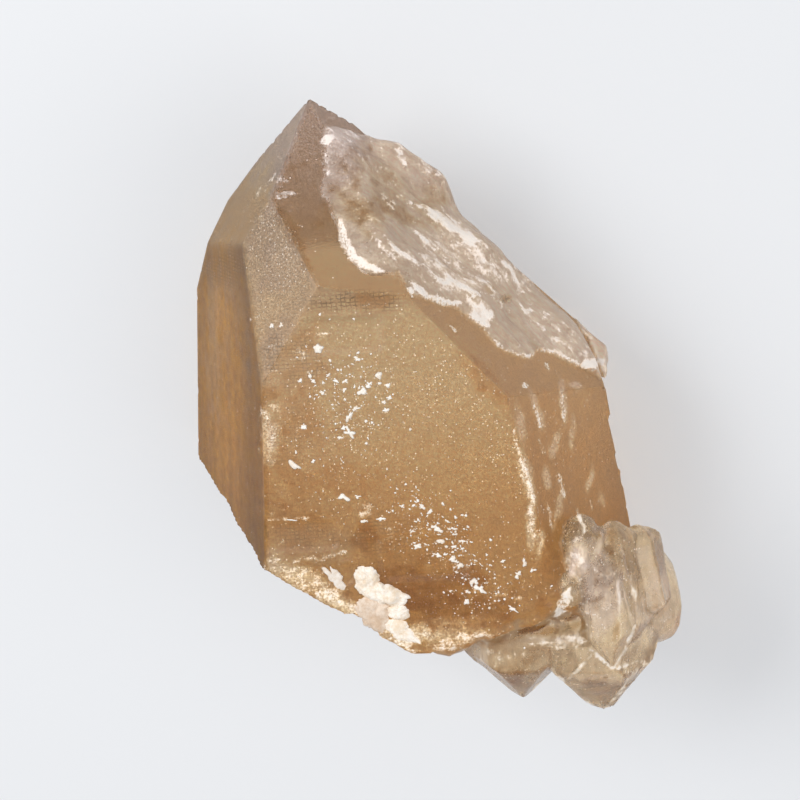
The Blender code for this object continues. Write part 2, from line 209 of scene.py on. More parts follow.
def rows_of(items: bpy.types.bpy_prop_collection, key: str, width: int,
            kind: type = np.float32) -> np.ndarray:
    """Read a property of each of a mesh's items.

    Args:
        items: The mesh's vertices, edges or loops.
        key: The property's name.
        width: How many numbers it has.
        kind: The numbers' type.

    Returns:
        One row for each item, in double precision where they are real numbers.
    """
    flat = np.empty(len(items) * width, kind)
    items.foreach_get(key, flat)
    rows = flat.reshape(-1, width)
    return rows.astype(float) if kind is np.float32 else rows


def vertices_of(mesh: bpy.types.Mesh) -> np.ndarray:
    """Return the mesh's vertices as rows."""
    return rows_of(mesh.vertices, "co", 3)


def normals_of(mesh: bpy.types.Mesh) -> np.ndarray:
    """Return the mesh's vertex normals as rows."""
    return rows_of(mesh.vertices, "normal", 3)


def edges_of(mesh: bpy.types.Mesh) -> np.ndarray:
    """Return the mesh's edges as pairs of vertex numbers."""
    return rows_of(mesh.edges, "vertices", 2, np.int32)


def write_values(mesh: bpy.types.Mesh, name: str, values: np.ndarray) -> None:
    """Keep a number or a vector for each vertex as a mesh attribute, for a material to read.

    Args:
        mesh: The mesh.
        name: The attribute's name.
        values: One value or one row of three for each vertex.
    """
    kind, key = ("FLOAT", "value") if values.ndim == 1 else ("FLOAT_VECTOR", "vector")
    attribute = mesh.attributes.new(name, kind, "POINT")
    attribute.data.foreach_set(key, values.astype(np.float32).ravel())


def relaxed(points: np.ndarray, edges: np.ndarray, share: np.ndarray, rounds: int) -> np.ndarray:
    """Move points towards the mean of their neighbours.

    Each round moves a point by its share of the way from itself to that mean, so a share of 0
    holds it still.

    Args:
        points: Vertices.
        edges: Pairs of vertex numbers.
        share: How far each vertex moves in a round, 0 to 1.
        rounds: How many rounds are done.

    Returns:
        The moved vertices.
    """
    ends = np.concatenate((edges[:, 0], edges[:, 1]))
    others = np.concatenate((edges[:, 1], edges[:, 0]))
    count = np.maximum(np.bincount(ends, minlength=len(points)), 1)[:, None]
    moved = points.copy()
    for _ in range(rounds):
        total = np.stack([
            np.bincount(ends, weights=moved[others, axis], minlength=len(points)) for axis in range(3)
        ], axis=1)
        moved += share[:, None] * (total / count - moved)
    return moved


# ---- Shared helpers: materials ---------------------------------------------------------------

def linear(colour: str) -> tuple[float, float, float, float]:
    """Turn an sRGB hex colour into linear light.

    Args:
        colour: Six hex digits after a hash sign.

    Returns:
        Linear red, green, blue and an alpha of 1.
    """
    channels = (int(colour[k:k + 2], 16) / 255.0 for k in (1, 3, 5))
    red, green, blue = (
        c / 12.92 if c <= 0.04045 else ((c + 0.055) / 1.055) ** 2.4 for c in channels
    )
    return red, green, blue, 1.0


def add_node(tree: bpy.types.NodeTree, kind: str, inputs: dict | tuple = (),
             **settings: object) -> bpy.types.Node:
    """Add a node with its settings and what goes into its sockets.

    Args:
        tree: The material's node tree.
        kind: The node's type, without the ShaderNode prefix.
        inputs: A value, an output socket, or a node for its first output, for each socket, by the
            sockets' names or numbers or in their order.
        settings: Properties of the node itself.

    Returns:
        The node.
    """
    node = tree.nodes.new("ShaderNode" + kind)
    for key, value in settings.items():
        setattr(node, key, value)
    for key, given in inputs.items() if isinstance(inputs, dict) else enumerate(inputs):
        source = given.outputs[0] if isinstance(given, bpy.types.Node) else given
        if isinstance(source, bpy.types.NodeSocket):
            tree.links.new(source, node.inputs[key])
        else:
            node.inputs[key].default_value = source
    return node


def new_material(name: str) -> tuple[bpy.types.Material, partial]:
    """Make a material with an empty tree.

    Args:
        name: The material's name.

    Returns:
        The material, and add_node for its tree.
    """
    material = bpy.data.materials.new(name)
    material.use_nodes = True
    material.node_tree.nodes.clear()
    return material, partial(add_node, material.node_tree)


def set_ramp(ramp: bpy.types.ColorRamp, stops: tuple[tuple[float, str], ...]) -> None:
    """Give a colour ramp its stops.

    Args:
        ramp: The ramp, with the two stops that it is made with.
        stops: Position and sRGB hex colour of each, the first and the last before the others.
    """
    for element, (position, colour) in zip(ramp.elements, stops):
        element.position, element.color = position, linear(colour)
    for position, colour in stops[2:]:
        ramp.elements.new(position).color = linear(colour)


# ---- The view: where the camera stands, and the plane that it sees the crystal in ------------

@dataclass(frozen=True)
class Sight:
    """The camera's place over the crystal, and the plane through the hub that faces it.

    A place in that plane is given as millimetres to the right of the hub and above it.
    """

    turn: float = 4.67          # degrees about the line of sight
    lean: float = 11.5          # degrees up from the front face
    swing: float = -9.92        # degrees to the side of it
    distance: float = 430.0     # camera to hub
    picture_width: float = 143.9    # what the picture takes in at the hub
    sensor: float = 36.0

    def axes(self) -> np.ndarray:
        """Work out the directions right, up and towards the camera.

        Returns:
            One row for each direction.
        """
        roll = Matrix.Rotation(math.radians(self.turn), 3, "Z")
        pitch = Matrix.Rotation(math.radians(self.lean), 3, "X")
        yaw = Matrix.Rotation(math.radians(self.swing), 3, "Y")
        return np.array(roll @ pitch @ yaw)

    def plane(self, points: np.ndarray) -> np.ndarray:
        """Project points from the camera onto the plane through the hub.

        Args:
            points: Positions in the crystal's frame.

        Returns:
            Millimetres to the right and up, one row each.
        """
        seen = points @ self.axes().T
        scale = self.distance / (self.distance - seen[:, 2])
        return seen[:, :2] * scale[:, None]

    def rays(self, places: np.ndarray) -> tuple[np.ndarray, np.ndarray]:
        """Work out the camera's position and a unit direction through each place in the plane.

        Args:
            places: Millimetres to the right and up, one row each.

        Returns:
            The camera's position, and one direction for each place.
        """
        axes = self.axes()
        start = axes[2] * self.distance
        aims = places[:, :1] * axes[0] + places[:, 1:2] * axes[1] - start
        return start, aims / np.linalg.norm(aims, axis=1, keepdims=True)

    def place_camera(self) -> bpy.types.Object:
        """Make the camera at its place and make it the scene's camera.

        Returns:
            The camera.
        """
        data = bpy.data.cameras.new("camera")
        data.sensor_width = self.sensor
        data.lens = self.sensor * self.distance / self.picture_width
        camera = bpy.data.objects.new("camera", data)
        axes = self.axes()
        turned = Matrix([list(row) for row in axes]).transposed().to_4x4()
        where = Vector((axes[2] * self.distance + HUB) * MM)
        camera.matrix_world = Matrix.Translation(where) @ turned
        bpy.context.scene.collection.objects.link(camera)
        bpy.context.scene.camera = camera
        return camera


SIGHT = Sight()

PATCH_EDGE = (1.25, 0.55)       # reach at which a patch is gone, and is whole, in its half sizes
STROKE_EDGE = (1.7, 0.25)       # the same for a stroke, in its half width


@dataclass(frozen=True)
class Patch:
    """An oval region in the plane that the camera sees, with a ragged soft border."""

    right: float
    up: float
    half_length: float
    half_width: float
    turn: float = 0.0
    amount: float = 1.0
    ragged: float = 0.35

    def weight(self, plane: np.ndarray, rag: np.ndarray) -> np.ndarray:
        """Fall from the amount in the middle to 0 at the border.

        Args:
            plane: Places in the camera's plane.
            rag: Noise that makes the border ragged, one value for each place.

        Returns:
            One weight for each place.
        """
        turn = math.radians(self.turn)
        across = plane - np.array((self.right, self.up))
        along = (across[:, 0] * math.cos(turn) + across[:, 1] * math.sin(turn)) / self.half_length
        aside = (across[:, 1] * math.cos(turn) - across[:, 0] * math.sin(turn)) / self.half_width
        reach = np.hypot(along, aside) + self.ragged * rag
        return self.amount * smoothstep(*PATCH_EDGE, reach)


@dataclass(frozen=True)
class Stroke:
    """A line through a few points of that plane, thinner towards its ends, with a ragged border."""

    points: tuple[tuple[float, float], ...]
    half_width: float
    amount: float = 1.0
    ragged: float = 0.5
    least_width: float = 0.42       # a thinner line falls between the mesh's vertices

    def weight(self, plane: np.ndarray, rag: np.ndarray) -> np.ndarray:
        """Fall from the amount on the line to 0 at the border.

        The nearest place on the line is the nearest of those on its straight parts. The width
        there is 1 - 0.6|2u - 1|³ of the full one, where u runs from 0 to 1 along the line.

        Args:
            plane: Places in the camera's plane.
            rag: Noise that makes the border ragged, one value for each place.

        Returns:
            One weight for each place.
        """
        corners = np.array(self.points)
        parts = np.diff(corners, axis=0)
        lengths = np.linalg.norm(parts, axis=1)
        starts = np.concatenate(((0.0,), np.cumsum(lengths)))
        nearest = np.full(len(plane), np.inf)
        along = np.zeros(len(plane))
        for corner, part, length, start in zip(corners, parts, lengths, starts):
            t = np.clip((plane - corner) @ part / length ** 2, 0.0, 1.0)
            distance = np.linalg.norm(plane - corner - t[:, None] * part, axis=1)
            along = np.where(distance < nearest, (start + t * length) / starts[-1], along)
            nearest = np.minimum(nearest, distance)
        width = max(self.half_width, self.least_width) * (1.0 - 0.6 * np.abs(2.0 * along - 1.0) ** 3)
        return self.amount * smoothstep(*STROKE_EDGE, nearest / width + self.ragged * rag)


# ---- The crystal's faces, and what marks them ------------------------------------------------

class Etch(Enum):
    """How far a crystal face is etched: its roughness, and the share of light that it scatters."""

    CLEAR = (0.14, 0.09)
    SATIN = (0.42, 0.12)
    HAZY = (0.55, 0.32)
    FROSTED = (0.40, 0.16)
    HEAVY = (0.52, 0.30)


@dataclass(frozen=True)
class CrystalFace:
    """A flat face: its outward normal by azimuth and tilt, its distance from the hub, its finish."""

    name: str
    azimuth: float
    tilt: float
    distance: float
    etch: Etch
    depth: float        # its tone, from 0 grey through tan to 1 amber
    light: float        # how bright its tone is
    banding: float      # how strongly it is streaked

    def normal(self) -> np.ndarray:
        """Return the outward normal."""
        turn, lean = math.radians(self.azimuth), math.radians(self.tilt)
        return np.array((math.sin(lean) * math.sin(turn), math.cos(lean), math.sin(lean) * math.cos(turn)))


FACES = each_of(
    CrystalFace,
    ("front prism", 0.0, 90.0, 0.0, Etch.FROSTED, 0.50, 1.18, 0.12),
    ("left prism", -61.1, 86.4, 22.2, Etch.HAZY, 0.96, 0.65, 0.20),
    ("right prism", 57.4, 81.2, 16.1, Etch.SATIN, 0.52, 1.0, 0.16),
    ("back left prism", -120.0, 83.0, 60.1, Etch.SATIN, 0.60, 0.95, 0.30),
    ("back right prism", 120.5, 86.8, 41.7, Etch.FROSTED, 0.70, 0.95, 0.30),
    ("back prism", 180.0, 90.0, THICKNESS, Etch.SATIN, 0.60, 1.00, 0.25),
    ("end over left", -63.9, 56.8, 33.6, Etch.HAZY, 0.72, 0.58, 0.06),
    ("end over front", 7.4, 56.6, 10.3, Etch.CLEAR, 0.30, 1.12, 0.05),
    ("end over right", 62.0, 52.6, 13.4, Etch.SATIN, 0.45, 0.95, 0.10),
    ("end over back right", 120.3, 47.9, 35.7, Etch.SATIN, 0.30, 0.90, 0.10),
    ("end over back left", -119.5, 43.6, 57.7, Etch.SATIN, 0.15, 0.85, 0.10),
    ("end over back", 180.0, 51.8, 49.3, Etch.SATIN, 0.30, 0.95, 0.10),
    ("small face front left", -25.0, 74.0, 11.3, Etch.HEAVY, 0.42, 0.72, 0.08),
    ("small face back left", -91.3, 62.2, 48.6, Etch.HAZY, 0.45, 0.60, 0.06),
    ("steep face right", 58.5, 67.5, 15.3, Etch.SATIN, 0.80, 1.0, 0.12),
    ("chipped tip", -20.0, 4.0, 52.0, Etch.SATIN, 0.10, 0.80, 0.05),
)
FACE_NUMBERS = {face.name: number for number, face in enumerate(FACES)}
FRONT_PRISM, LEFT_PRISM, RIGHT_PRISM, END_OVER_FRONT, STEEP_RIGHT = (
    FACE_NUMBERS[name] for name in ("front prism", "left prism", "right prism", "end over front",
                                    "steep face right")
)

# Layers of smoke in the left prism: millimetres behind the front face, and how much darker each is.
SMOKE_LAYERS = np.array(((0.0, 0.32), (7.0, 0.36), (12.0, 0.12), (17.0, -0.12), (28.0, -0.12), (35.0, 0.10),
                         (46.0, 0.22)))


@dataclass(frozen=True)
class GrowthLine:
    """A low step across the front face, where a growth layer ended."""

    level: float
    start: float
    end: float
    height: float
    slope: float = 0.0
    fade: float = 1.5                           # half the length that its two ends fade over
    edge: float = 0.35                          # half the width of the step itself
    foot: tuple[float, float] = (-5.0, -0.8)    # where below the line it has died out, and starts to

    def rise(self, points: np.ndarray) -> np.ndarray:
        """Work out how far the face stands back below the line.

        The step is sharp at the line and dies out over the next few millimetres below, and it
        fades in and out at its two ends.

        Args:
            points: Vertices.

        Returns:
            One distance for each vertex, in millimetres.
        """
        middle = 0.5 * (self.start + self.end)
        y = points[:, 1] - self.level - self.slope * (points[:, 0] - middle)
        along = smoothstep(self.start - self.fade, self.start + self.fade, points[:, 0])
        along *= smoothstep(self.end + self.fade, self.end - self.fade, points[:, 0])
        below = smoothstep(self.edge, -self.edge, y) * smoothstep(*self.foot, y)
        return self.height * along * below


GROWTH_LINES = each_of(
    GrowthLine,
    (12.4, -24.5, -15.0, 0.16, -0.05), (10.0, -24.6, -16.0, 0.14, -0.03),
    (7.7, -24.7, -14.0, 0.18, -0.03), (5.5, -25.0, -16.0, 0.14, -0.02),
    (1.7, -26.2, -21.4, 0.32, -0.04), (-3.0, -21.8, -19.0, 0.20, 0.0),
    (14.5, -16.5, -9.5, 0.14, 0.0), (-21.2, -27.2, -14.0, 0.26, 0.06),
    (-28.6, -23.0, -11.5, 0.34, 0.14), (-25.6, -6.0, 3.0, 0.24, 0.05),
    (-24.0, -27.0, -16.0, 0.12, 0.04), (19.0, -14.0, 1.0, 0.10, 0.15),
)

# Marks on the stone, in millimetres right of the hub and above it in the plane of sight. A patch
# is its place, half length, half width, turn, amount and raggedness, and a stroke its points, half
# width, amount and raggedness.

# Milky veils: first in the overgrowth, then in the small crystals, the front face and the right.
VEIL_PATCHES = each_of(
    Patch,
    (14.4, 15.8, 2.5, 2.0, -45, 0.72, 0.6), (9.9, 24.8, 9.0, 5.4, -42, 0.38, 0.3),
    (28.8, 11.7, 7.2, 2.5, -38, 0.24, 0.3), (16.2, 22.5, 5.4, 3.6, -45, 0.4, 0.5),
    (34.2, 6.5, 2.5, 0.9, 12, 0.7, 0.4), (9.4, 32.0, 3.6, 1.4, -35, 0.62, 0.6),
    (-8.1, 45.0, 2.5, 3.2, 0, 0.2, 0.6), (-2.7, 41.0, 1.8, 2.9, 10, 0.3, 0.6),
    (22.8, 16.0, 1.4, 0.9, 0, 0.55, 0.5), (-13.1, 46.8, 1.3, 0.9, 0, 0.95, 0.5),
    (-0.9, 36.0, 0.9, 1.1, 0, 0.6, 0.5), (5.4, 41.4, 1.8, 1.1, -30, 0.22, 0.6),
    (21.6, 20.7, 2.5, 4.0, 10, 0.28, 0.5), (18.9, 18.0, 1.8, 1.4, 0, 0.2, 0.5),
    (11.7, 29.7, 2.2, 1.4, -40, 0.7, 0.5), (29.7, -36.0, 2.5, 1.6, 60, 0.85, 0.6),
    (36.5, -31.8, 2.9, 2.5, 0, 0.25, 0.6), (-11.5, -36.0, 6.1, 1.8, -28, 0.55, 0.5),
    (0.9, -42.1, 7.2, 2.0, -14, 0.6, 0.6), (11.7, -43.2, 7.9, 1.8, 8, 0.6, 0.5),
    (-14.7, -33.3, 6.1, 2.5, -28, 0.46, 0.6), (32.0, -28.4, 1.8, 2.5, 0, 0.2, 0.3),
    (29.1, -43.2, 4.3, 1.4, 0, 0.5, 0.7), (18.0, -45.9, 7.2, 2.2, 10, 0.3, 0.5),
    (27.0, -39.2, 1.8, 1.3, 20, 0.5, 0.7), (18.9, -47.7, 4.3, 2.5, 10, 0.22, 0.6),
    (31.5, -28.8, 2.2, 1.8, 0, 0.4, 0.6), (45.3, -45.0, 1.4, 4.0, -30, 0.3, 0.5),
    (-23.4, -1.4, 2.7, 2.2, 0, 0.46, 0.5), (-23.9, -6.8, 2.0, 3.2, 0, 0.36, 0.5),
    (-6.3, -20.1, 1.6, 1.6, 0, 0.58, 0.6), (-1.4, -23.6, 1.1, 1.3, 0, 0.5, 0.6),
    (3.6, -26.4, 0.9, 0.7, 0, 0.65, 0.5), (-18.9, -32.4, 7.2, 2.9, -25, 0.4, 0.7),
    (-9.0, -37.1, 2.5, 1.1, -35, 0.4, 0.6), (9.0, -43.5, 8.3, 1.3, 14, 0.5, 0.6),
    (18.0, -36.0, 2.5, 2.2, 0, 0.4, 0.7), (11.2, -30.2, 1.6, 1.1, -20, 0.6, 0.6),
    (14.0, -34.2, 1.4, 0.9, 0, 0.5, 0.6), (-20.7, 36.9, 2.5, 0.7, 3, 0.55, 0.5),
    (-21.2, 39.2, 1.4, 1.1, 0, 0.42, 0.6), (-24.8, 37.8, 4.3, 1.1, 52, 0.3, 0.7),
    (-19.2, 6.3, 4.7, 3.6, 0, 0.28, 0.8), (-15.3, 34.9, 5.4, 4.3, -40, 0.14, 0.6),
    (-21.0, 27.0, 4.7, 3.6, -60, 0.2, 0.7), (24.3, -43.2, 1.8, 1.1, 0, 0.5, 0.7),
    (21.6, -36.0, 1.4, 1.1, 0, 0.45, 0.7), (-21.6, -23.4, 3.6, 3.6, 0, 0.25, 0.7),
    (-16.9, -26.1, 3.2, 1.1, 0, 0.3, 0.7),
)

# Strokes of milk, in the same order: milky streaks, and painted highlights on bright rims, crescents and
# ledge edges.
VEIL_AND_HIGHLIGHT_STROKES = each_of(
    Stroke,
    (((-10.8, 32.0), (-10.1, 28.8), (-8.5, 25.9), (-6.1, 24.1), (-3.2, 23.2)), 0.90, 0.84, 0.5),
    (((2.2, 21.0), (4.9, 18.5), (8.1, 17.4), (12.2, 17.6)), 0.76, 0.8, 0.6),
    (((6.5, 21.8), (9.4, 21.2), (12.2, 20.1), (13.3, 18.7)), 0.86, 0.7, 0.6),
    (((11.9, 18.7), (13.7, 16.2), (15.8, 13.5)), 1.04, 0.74, 0.7),
    (((5.4, 33.6), (8.5, 31.7), (11.3, 30.0), (13.3, 27.7)), 1.19, 0.74, 0.6),
    (((-0.5, 33.6), (2.5, 30.9), (5.4, 27.7), (8.3, 25.5)), 0.29, 0.55, 0.4),
    (((-2.2, 28.8), (0.0, 26.6), (2.9, 24.8), (5.4, 23.7)), 0.32, 0.5, 0.5),
    (((-5.0, 29.5), (-2.9, 27.0), (-0.4, 24.8)), 0.27, 0.6, 0.5),
    (((18.0, 25.5), (20.1, 23.4), (21.2, 20.5), (21.6, 17.3)), 0.32, 0.6, 0.3),
    (((21.6, 17.3), (23.4, 14.7), (26.1, 12.6)), 0.32, 0.5, 0.4),
    (((32.9, 5.8), (34.5, 6.5), (36.7, 7.2)), 0.54, 0.9, 0.4),
    (((16.2, 11.2), (18.9, 9.0), (21.9, 7.9), (24.3, 8.1)), 0.25, 0.55, 0.6),
    (((24.6, 9.0), (28.2, 8.5), (31.5, 6.8), (34.2, 5.4)), 0.25, 0.6, 0.4),
    (((-13.8, 45.0), (-13.5, 42.8), (-12.9, 40.3)), 0.47, 0.55, 0.7),
    (((1.4, 41.4), (0.7, 43.2), (-0.9, 45.3)), 0.36, 0.5, 0.6),
    (((1.8, 20.5), (2.3, 18.3)), 0.43, 0.95, 0.4), (((9.0, 13.5), (10.3, 12.1)), 0.40, 0.8, 0.5),
    (((0.9, 36.0), (3.6, 34.9), (6.5, 33.5)), 0.40, 0.6, 0.7),
    (((-3.6, 37.8), (-2.2, 35.3), (0.0, 33.5)), 0.36, 0.5, 0.7),
    (((-9.0, 36.7), (-7.2, 33.8), (-5.0, 31.3)), 0.29, 0.45, 0.7),
    (((34.2, -44.6), (36.2, -46.6), (38.3, -48.6)), 0.34, 0.75, 0.4),
    (((38.3, -48.6), (40.3, -45.0), (42.3, -40.6)), 0.29, 0.65, 0.4),
    (((30.2, -50.5), (32.4, -48.0), (34.5, -45.9)), 0.22, 0.5, 0.4),
    (((38.3, -48.6), (41.0, -47.5), (43.9, -46.8)), 0.22, 0.5, 0.4),
    (((23.9, -52.2), (26.1, -50.5), (28.1, -50.0), (30.0, -50.5)), 0.40, 0.8, 0.5),
    (((28.1, -38.8), (29.3, -36.3), (30.9, -33.5)), 0.72, 0.9, 0.7),
    (((38.1, -28.8), (39.2, -33.3), (39.6, -37.8)), 0.25, 0.45, 0.4),
    (((41.4, -31.5), (42.6, -36.0), (43.2, -39.9)), 0.23, 0.45, 0.4),
    (((45.3, -34.2), (46.8, -37.2), (47.1, -40.5)), 0.23, 0.4, 0.4),
    (((32.4, -34.2), (33.5, -38.1), (34.2, -43.2)), 0.23, 0.45, 0.5),
    (((36.3, -56.1), (39.9, -52.2), (43.5, -47.1)), 0.23, 0.55, 0.4),
    (((33.3, -54.0), (35.1, -55.4), (36.5, -56.1)), 0.22, 0.5, 0.5),
    (((-24.3, -21.9), (-19.8, -21.4), (-15.8, -21.2)), 0.40, 0.62, 0.8),
    (((-19.4, -29.0), (-14.7, -28.4), (-9.5, -27.3)), 0.76, 0.7, 0.8),
    (((-22.3, -28.8), (-19.8, -29.0)), 0.32, 0.6, 0.7),
    (((-3.2, -25.2), (0.0, -24.8), (3.8, -24.3)), 0.16, 0.6, 0.5),
    (((-3.6, -25.2), (-3.6, -27.3)), 0.14, 0.5, 0.4),
    (((-23.9, -30.2), (-18.0, -33.5), (-11.3, -36.5), (-7.7, -38.3)), 0.29, 0.6, 0.6),
    (((20.5, -5.4), (21.2, -8.6), (22.7, -13.3), (24.1, -17.6)), 0.65, 0.7, 0.9),
    (((21.6, -12.6), (23.0, -16.2), (23.9, -19.1)), 0.90, 0.5, 0.9),
    (((-17.6, 11.9), (-14.7, 11.9), (-11.5, 12.1)), 0.36, 0.6, 0.8),
    (((-24.3, 9.7), (-20.9, 10.1), (-16.9, 10.3)), 0.18, 0.45, 0.8),
    (((-23.7, 7.9), (-19.8, 8.3), (-15.8, 8.5)), 0.18, 0.4, 0.8),
    (((-24.5, 5.0), (-20.9, 5.4), (-17.3, 5.6)), 0.18, 0.4, 0.8),
    (((-27.0, 14.4), (-25.5, 15.1)), 0.36, 0.6, 0.7),
    (((-24.8, 14.4), (-22.7, 14.0), (-20.9, 14.4)), 0.29, 0.5, 0.8),
    (((4.5, -43.7), (9.0, -45.0), (14.0, -44.1), (18.9, -42.1)), 0.29, 0.5, 0.6),
    (((-27.9, 33.8), (-24.8, 37.4), (-21.2, 41.7)), 0.25, 0.35, 0.8),
    (((-18.0, 12.6), (-17.4, 9.0), (-16.9, 5.0)), 0.16, 0.3, 0.8),
    (((23.9, -0.7), (24.6, -2.5), (25.4, -5.0)), 0.40, 0.85, 0.5),
    (((24.8, -5.4), (25.4, -8.3), (26.3, -10.8)), 0.36, 0.62, 0.6),
    (((22.3, 3.2), (22.7, 2.2)), 0.47, 0.8, 0.5), (((26.1, 6.7), (26.8, 5.6)), 0.50, 0.85, 0.5),
    (((28.8, 2.2), (29.3, -0.7), (29.5, -4.3)), 0.40, 0.7, 0.7),
    (((28.1, -12.6), (29.0, -15.5), (29.5, -18.0)), 0.36, 0.6, 0.6),
    (((31.5, -18.9), (32.6, -21.6), (33.1, -24.1)), 0.36, 0.6, 0.6),
    (((34.2, -18.0), (34.9, -20.1)), 0.36, 0.6, 0.6),
    (((23.0, -18.9), (23.7, -21.9), (24.5, -25.2)), 0.47, 0.66, 0.8),
    (((26.3, -18.0), (27.0, -20.9), (27.3, -23.4)), 0.36, 0.62, 0.6),
    (((24.5, -28.8), (25.5, -31.7)), 0.36, 0.55, 0.7),
)

# Places where the stone is darker.
DARK_PLACES = each_of(
    Patch,
    (-5.4, 18.0, 6.1, 1.6, 0, 0.55, 0.5), (-19.8, 30.6, 5.4, 1.6, -60, 0.5, 0.4),
    (-16.9, 24.5, 2.5, 1.4, -62, 0.45, 0.6), (-14.6, 31.5, 1.4, 1.1, 0, 0.45, 0.6),
    (4.5, -34.5, 12.6, 6.5, 2, 0.7, 0.5), (-2.7, 38.7, 6.1, 3.2, -40, 0.45, 0.6),
    (5.4, 33.3, 4.7, 1.8, -40, 0.4, 0.6), (14.4, -38.7, 9.0, 3.6, 8, 0.6, 0.5),
    (0.0, -28.8, 7.2, 4.7, 0, 0.35, 0.6), (-9.9, 36.9, 4.0, 2.2, -50, 0.6, 0.6),
    (-0.9, 33.8, 6.1, 1.6, -22, 0.7, 0.6), (-12.6, 34.5, 2.2, 2.9, 0, 0.35, 0.6),
    (-9.9, 34.2, 2.5, 1.8, -40, 0.5, 0.6), (18.9, 18.3, 1.6, 0.9, 10, 0.8, 0.6),
    (19.8, -48.6, 4.3, 2.9, 10, 0.5, 0.6), (35.1, -52.2, 3.2, 2.5, -40, 0.35, 0.6),
    (26.1, -37.8, 2.2, 2.5, 0, 0.4, 0.5), (26.6, -28.8, 2.2, 4.3, 0, 0.4, 0.6),
    (-18.0, -0.9, 5.4, 8.3, 0, 0.34, 0.85), (-20.1, -13.5, 4.3, 6.5, 0, 0.36, 0.85),
    (25.7, -41.5, 4.3, 1.3, -4, 1, 0.4), (31.5, -40.5, 2.2, 1.1, 10, 0.6, 0.6),
    (18.0, -43.2, 5.4, 1.1, 12, 0.5, 0.6), (39.0, -41.4, 0.9, 2.5, -8, 0.6, 0.5),
    (-31.3, 24.8, 4.3, 3.6, 0, 0.35, 0.6), (-8.6, 41.0, 2.9, 7.6, -20, 0.6, 0.5),
    (-23.0, 1.4, 4.0, 1.6, 20, 0.5, 0.6), (-18.0, 9.9, 5.4, 2.2, 35, 0.4, 0.7),
    (-6.3, -24.3, 2.5, 3.6, 0, 0.6, 0.5), (-18.0, -24.3, 7.2, 4.7, 0, 0.35, 0.6),
    (-23.7, -14.4, 1.8, 7.2, 0, 0.35, 0.6), (-11.7, -14.4, 7.9, 3.6, 0, 0.3, 0.6),
    (0.0, -18.0, 7.2, 3.6, 0, 0.12, 0.6), (-6.3, 33.8, 5.0, 2.5, -25, 0.75, 0.5),
    (5.4, -26.1, 10.8, 7.2, -30, 0.25, 0.7), (45.9, -36.5, 3.6, 4.7, 20, 0.25, 0.4),
    (19.8, -36.0, 1.4, 5.4, -20, 0.35, 0.5), (14.4, 4.5, 7.2, 2.2, -48, 0.5, 0.5),
    (26.1, -3.6, 3.6, 10.8, -14, 0.15, 0.5), (36.9, -28.8, 2.5, 10.8, -8, 0.35, 0.4),
    (6.5, 36.7, 2.9, 1.4, -30, 0.4, 0.6), (21.6, -46.8, 5.4, 2.2, 10, 0.3, 0.6),
    (-18.0, 42.3, 1.4, 0.7, 10, 0.4, 0.5), (-19.2, 41.0, 0.7, 1.8, 20, 0.35, 0.5),
    (16.2, 20.1, 1.1, 0.9, 0, 0.5, 0.6), (3.6, 32.0, 2.2, 0.9, -40, 0.45, 0.6),
    (-6.3, 30.6, 1.8, 0.9, -50, 0.45, 0.6), (45.9, -45.9, 1.8, 4.7, -35, 0.25, 0.5),
    (25.2, -28.8, 1.8, 10.8, -4, 0.2, 0.5),
)

# Places where it is brighter.
LIGHT_PLACES = each_of(
    Patch,
    (4.5, 5.0, 14.0, 10.1, -20, 0.8, 0.4), (9.9, -9.0, 10.8, 10.8, 0, 0.45, 0.5),
    (-3.6, -10.8, 5.4, 5.4, 0, 0.3, 0.6), (-12.6, 24.8, 4.0, 3.6, -30, 0.35, 0.4),
    (-5.4, -3.6, 10.8, 9.0, 0, 0.25, 0.5), (-24.3, -12.6, 2.5, 10.8, 0, 0.25, 0.4),
    (9.0, -14.4, 9.0, 10.8, 0, 0.2, 0.4), (-10.8, 12.6, 10.8, 2.5, 0, 0.15, 0.5),
    (-31.7, 15.8, 1.6, 5.4, 0, 0.55, 0.4), (-28.8, -3.6, 1.4, 10.8, 0, 0.3, 0.4),
    (36.0, -30.6, 4.3, 5.4, 0, 0.25, 0.4), (32.0, -28.8, 2.5, 4.0, 0, 0.4, 0.3),
    (-29.7, -9.0, 4.0, 10.8, 0, 0.6, 0.4), (-16.2, 48.6, 7.2, 7.2, -30, 0.4, 0.3),
    (9.0, -43.2, 9.0, 1.8, 12, 0.5, 0.4), (-27.3, -18.0, 1.4, 8.3, 0, 0.35, 0.4),
    (9.9, 24.8, 9.0, 6.1, -42, 0.5, 0.3), (27.9, 11.7, 8.3, 2.9, -38, 0.7, 0.3),
    (-18.0, -25.2, 7.9, 3.2, 0, 0.3, 0.5),
)

# Places where it is greyer than the golden body.
GREY_PLACES = each_of(
    Patch,
    (-15.8, 45.0, 10.1, 11.9, -30, 1, 0.3), (-19.8, 25.2, 4.7, 7.2, -30, 0.25, 0.4),
    (-17.1, -26.6, 10.1, 4.3, 0, 0.5, 0.5), (-21.6, 7.2, 4.7, 7.2, 0, 0.25, 0.5),
    (-31.3, 24.8, 4.7, 5.4, 0, 0.3, 0.4), (-33.5, 9.0, 1.4, 16.2, 0, 0.35, 0.4),
    (36.0, -36.0, 4.7, 8.3, 0, 0.6, 0.3), (45.9, -37.8, 3.6, 7.2, 0, 0.6, 0.3),
)

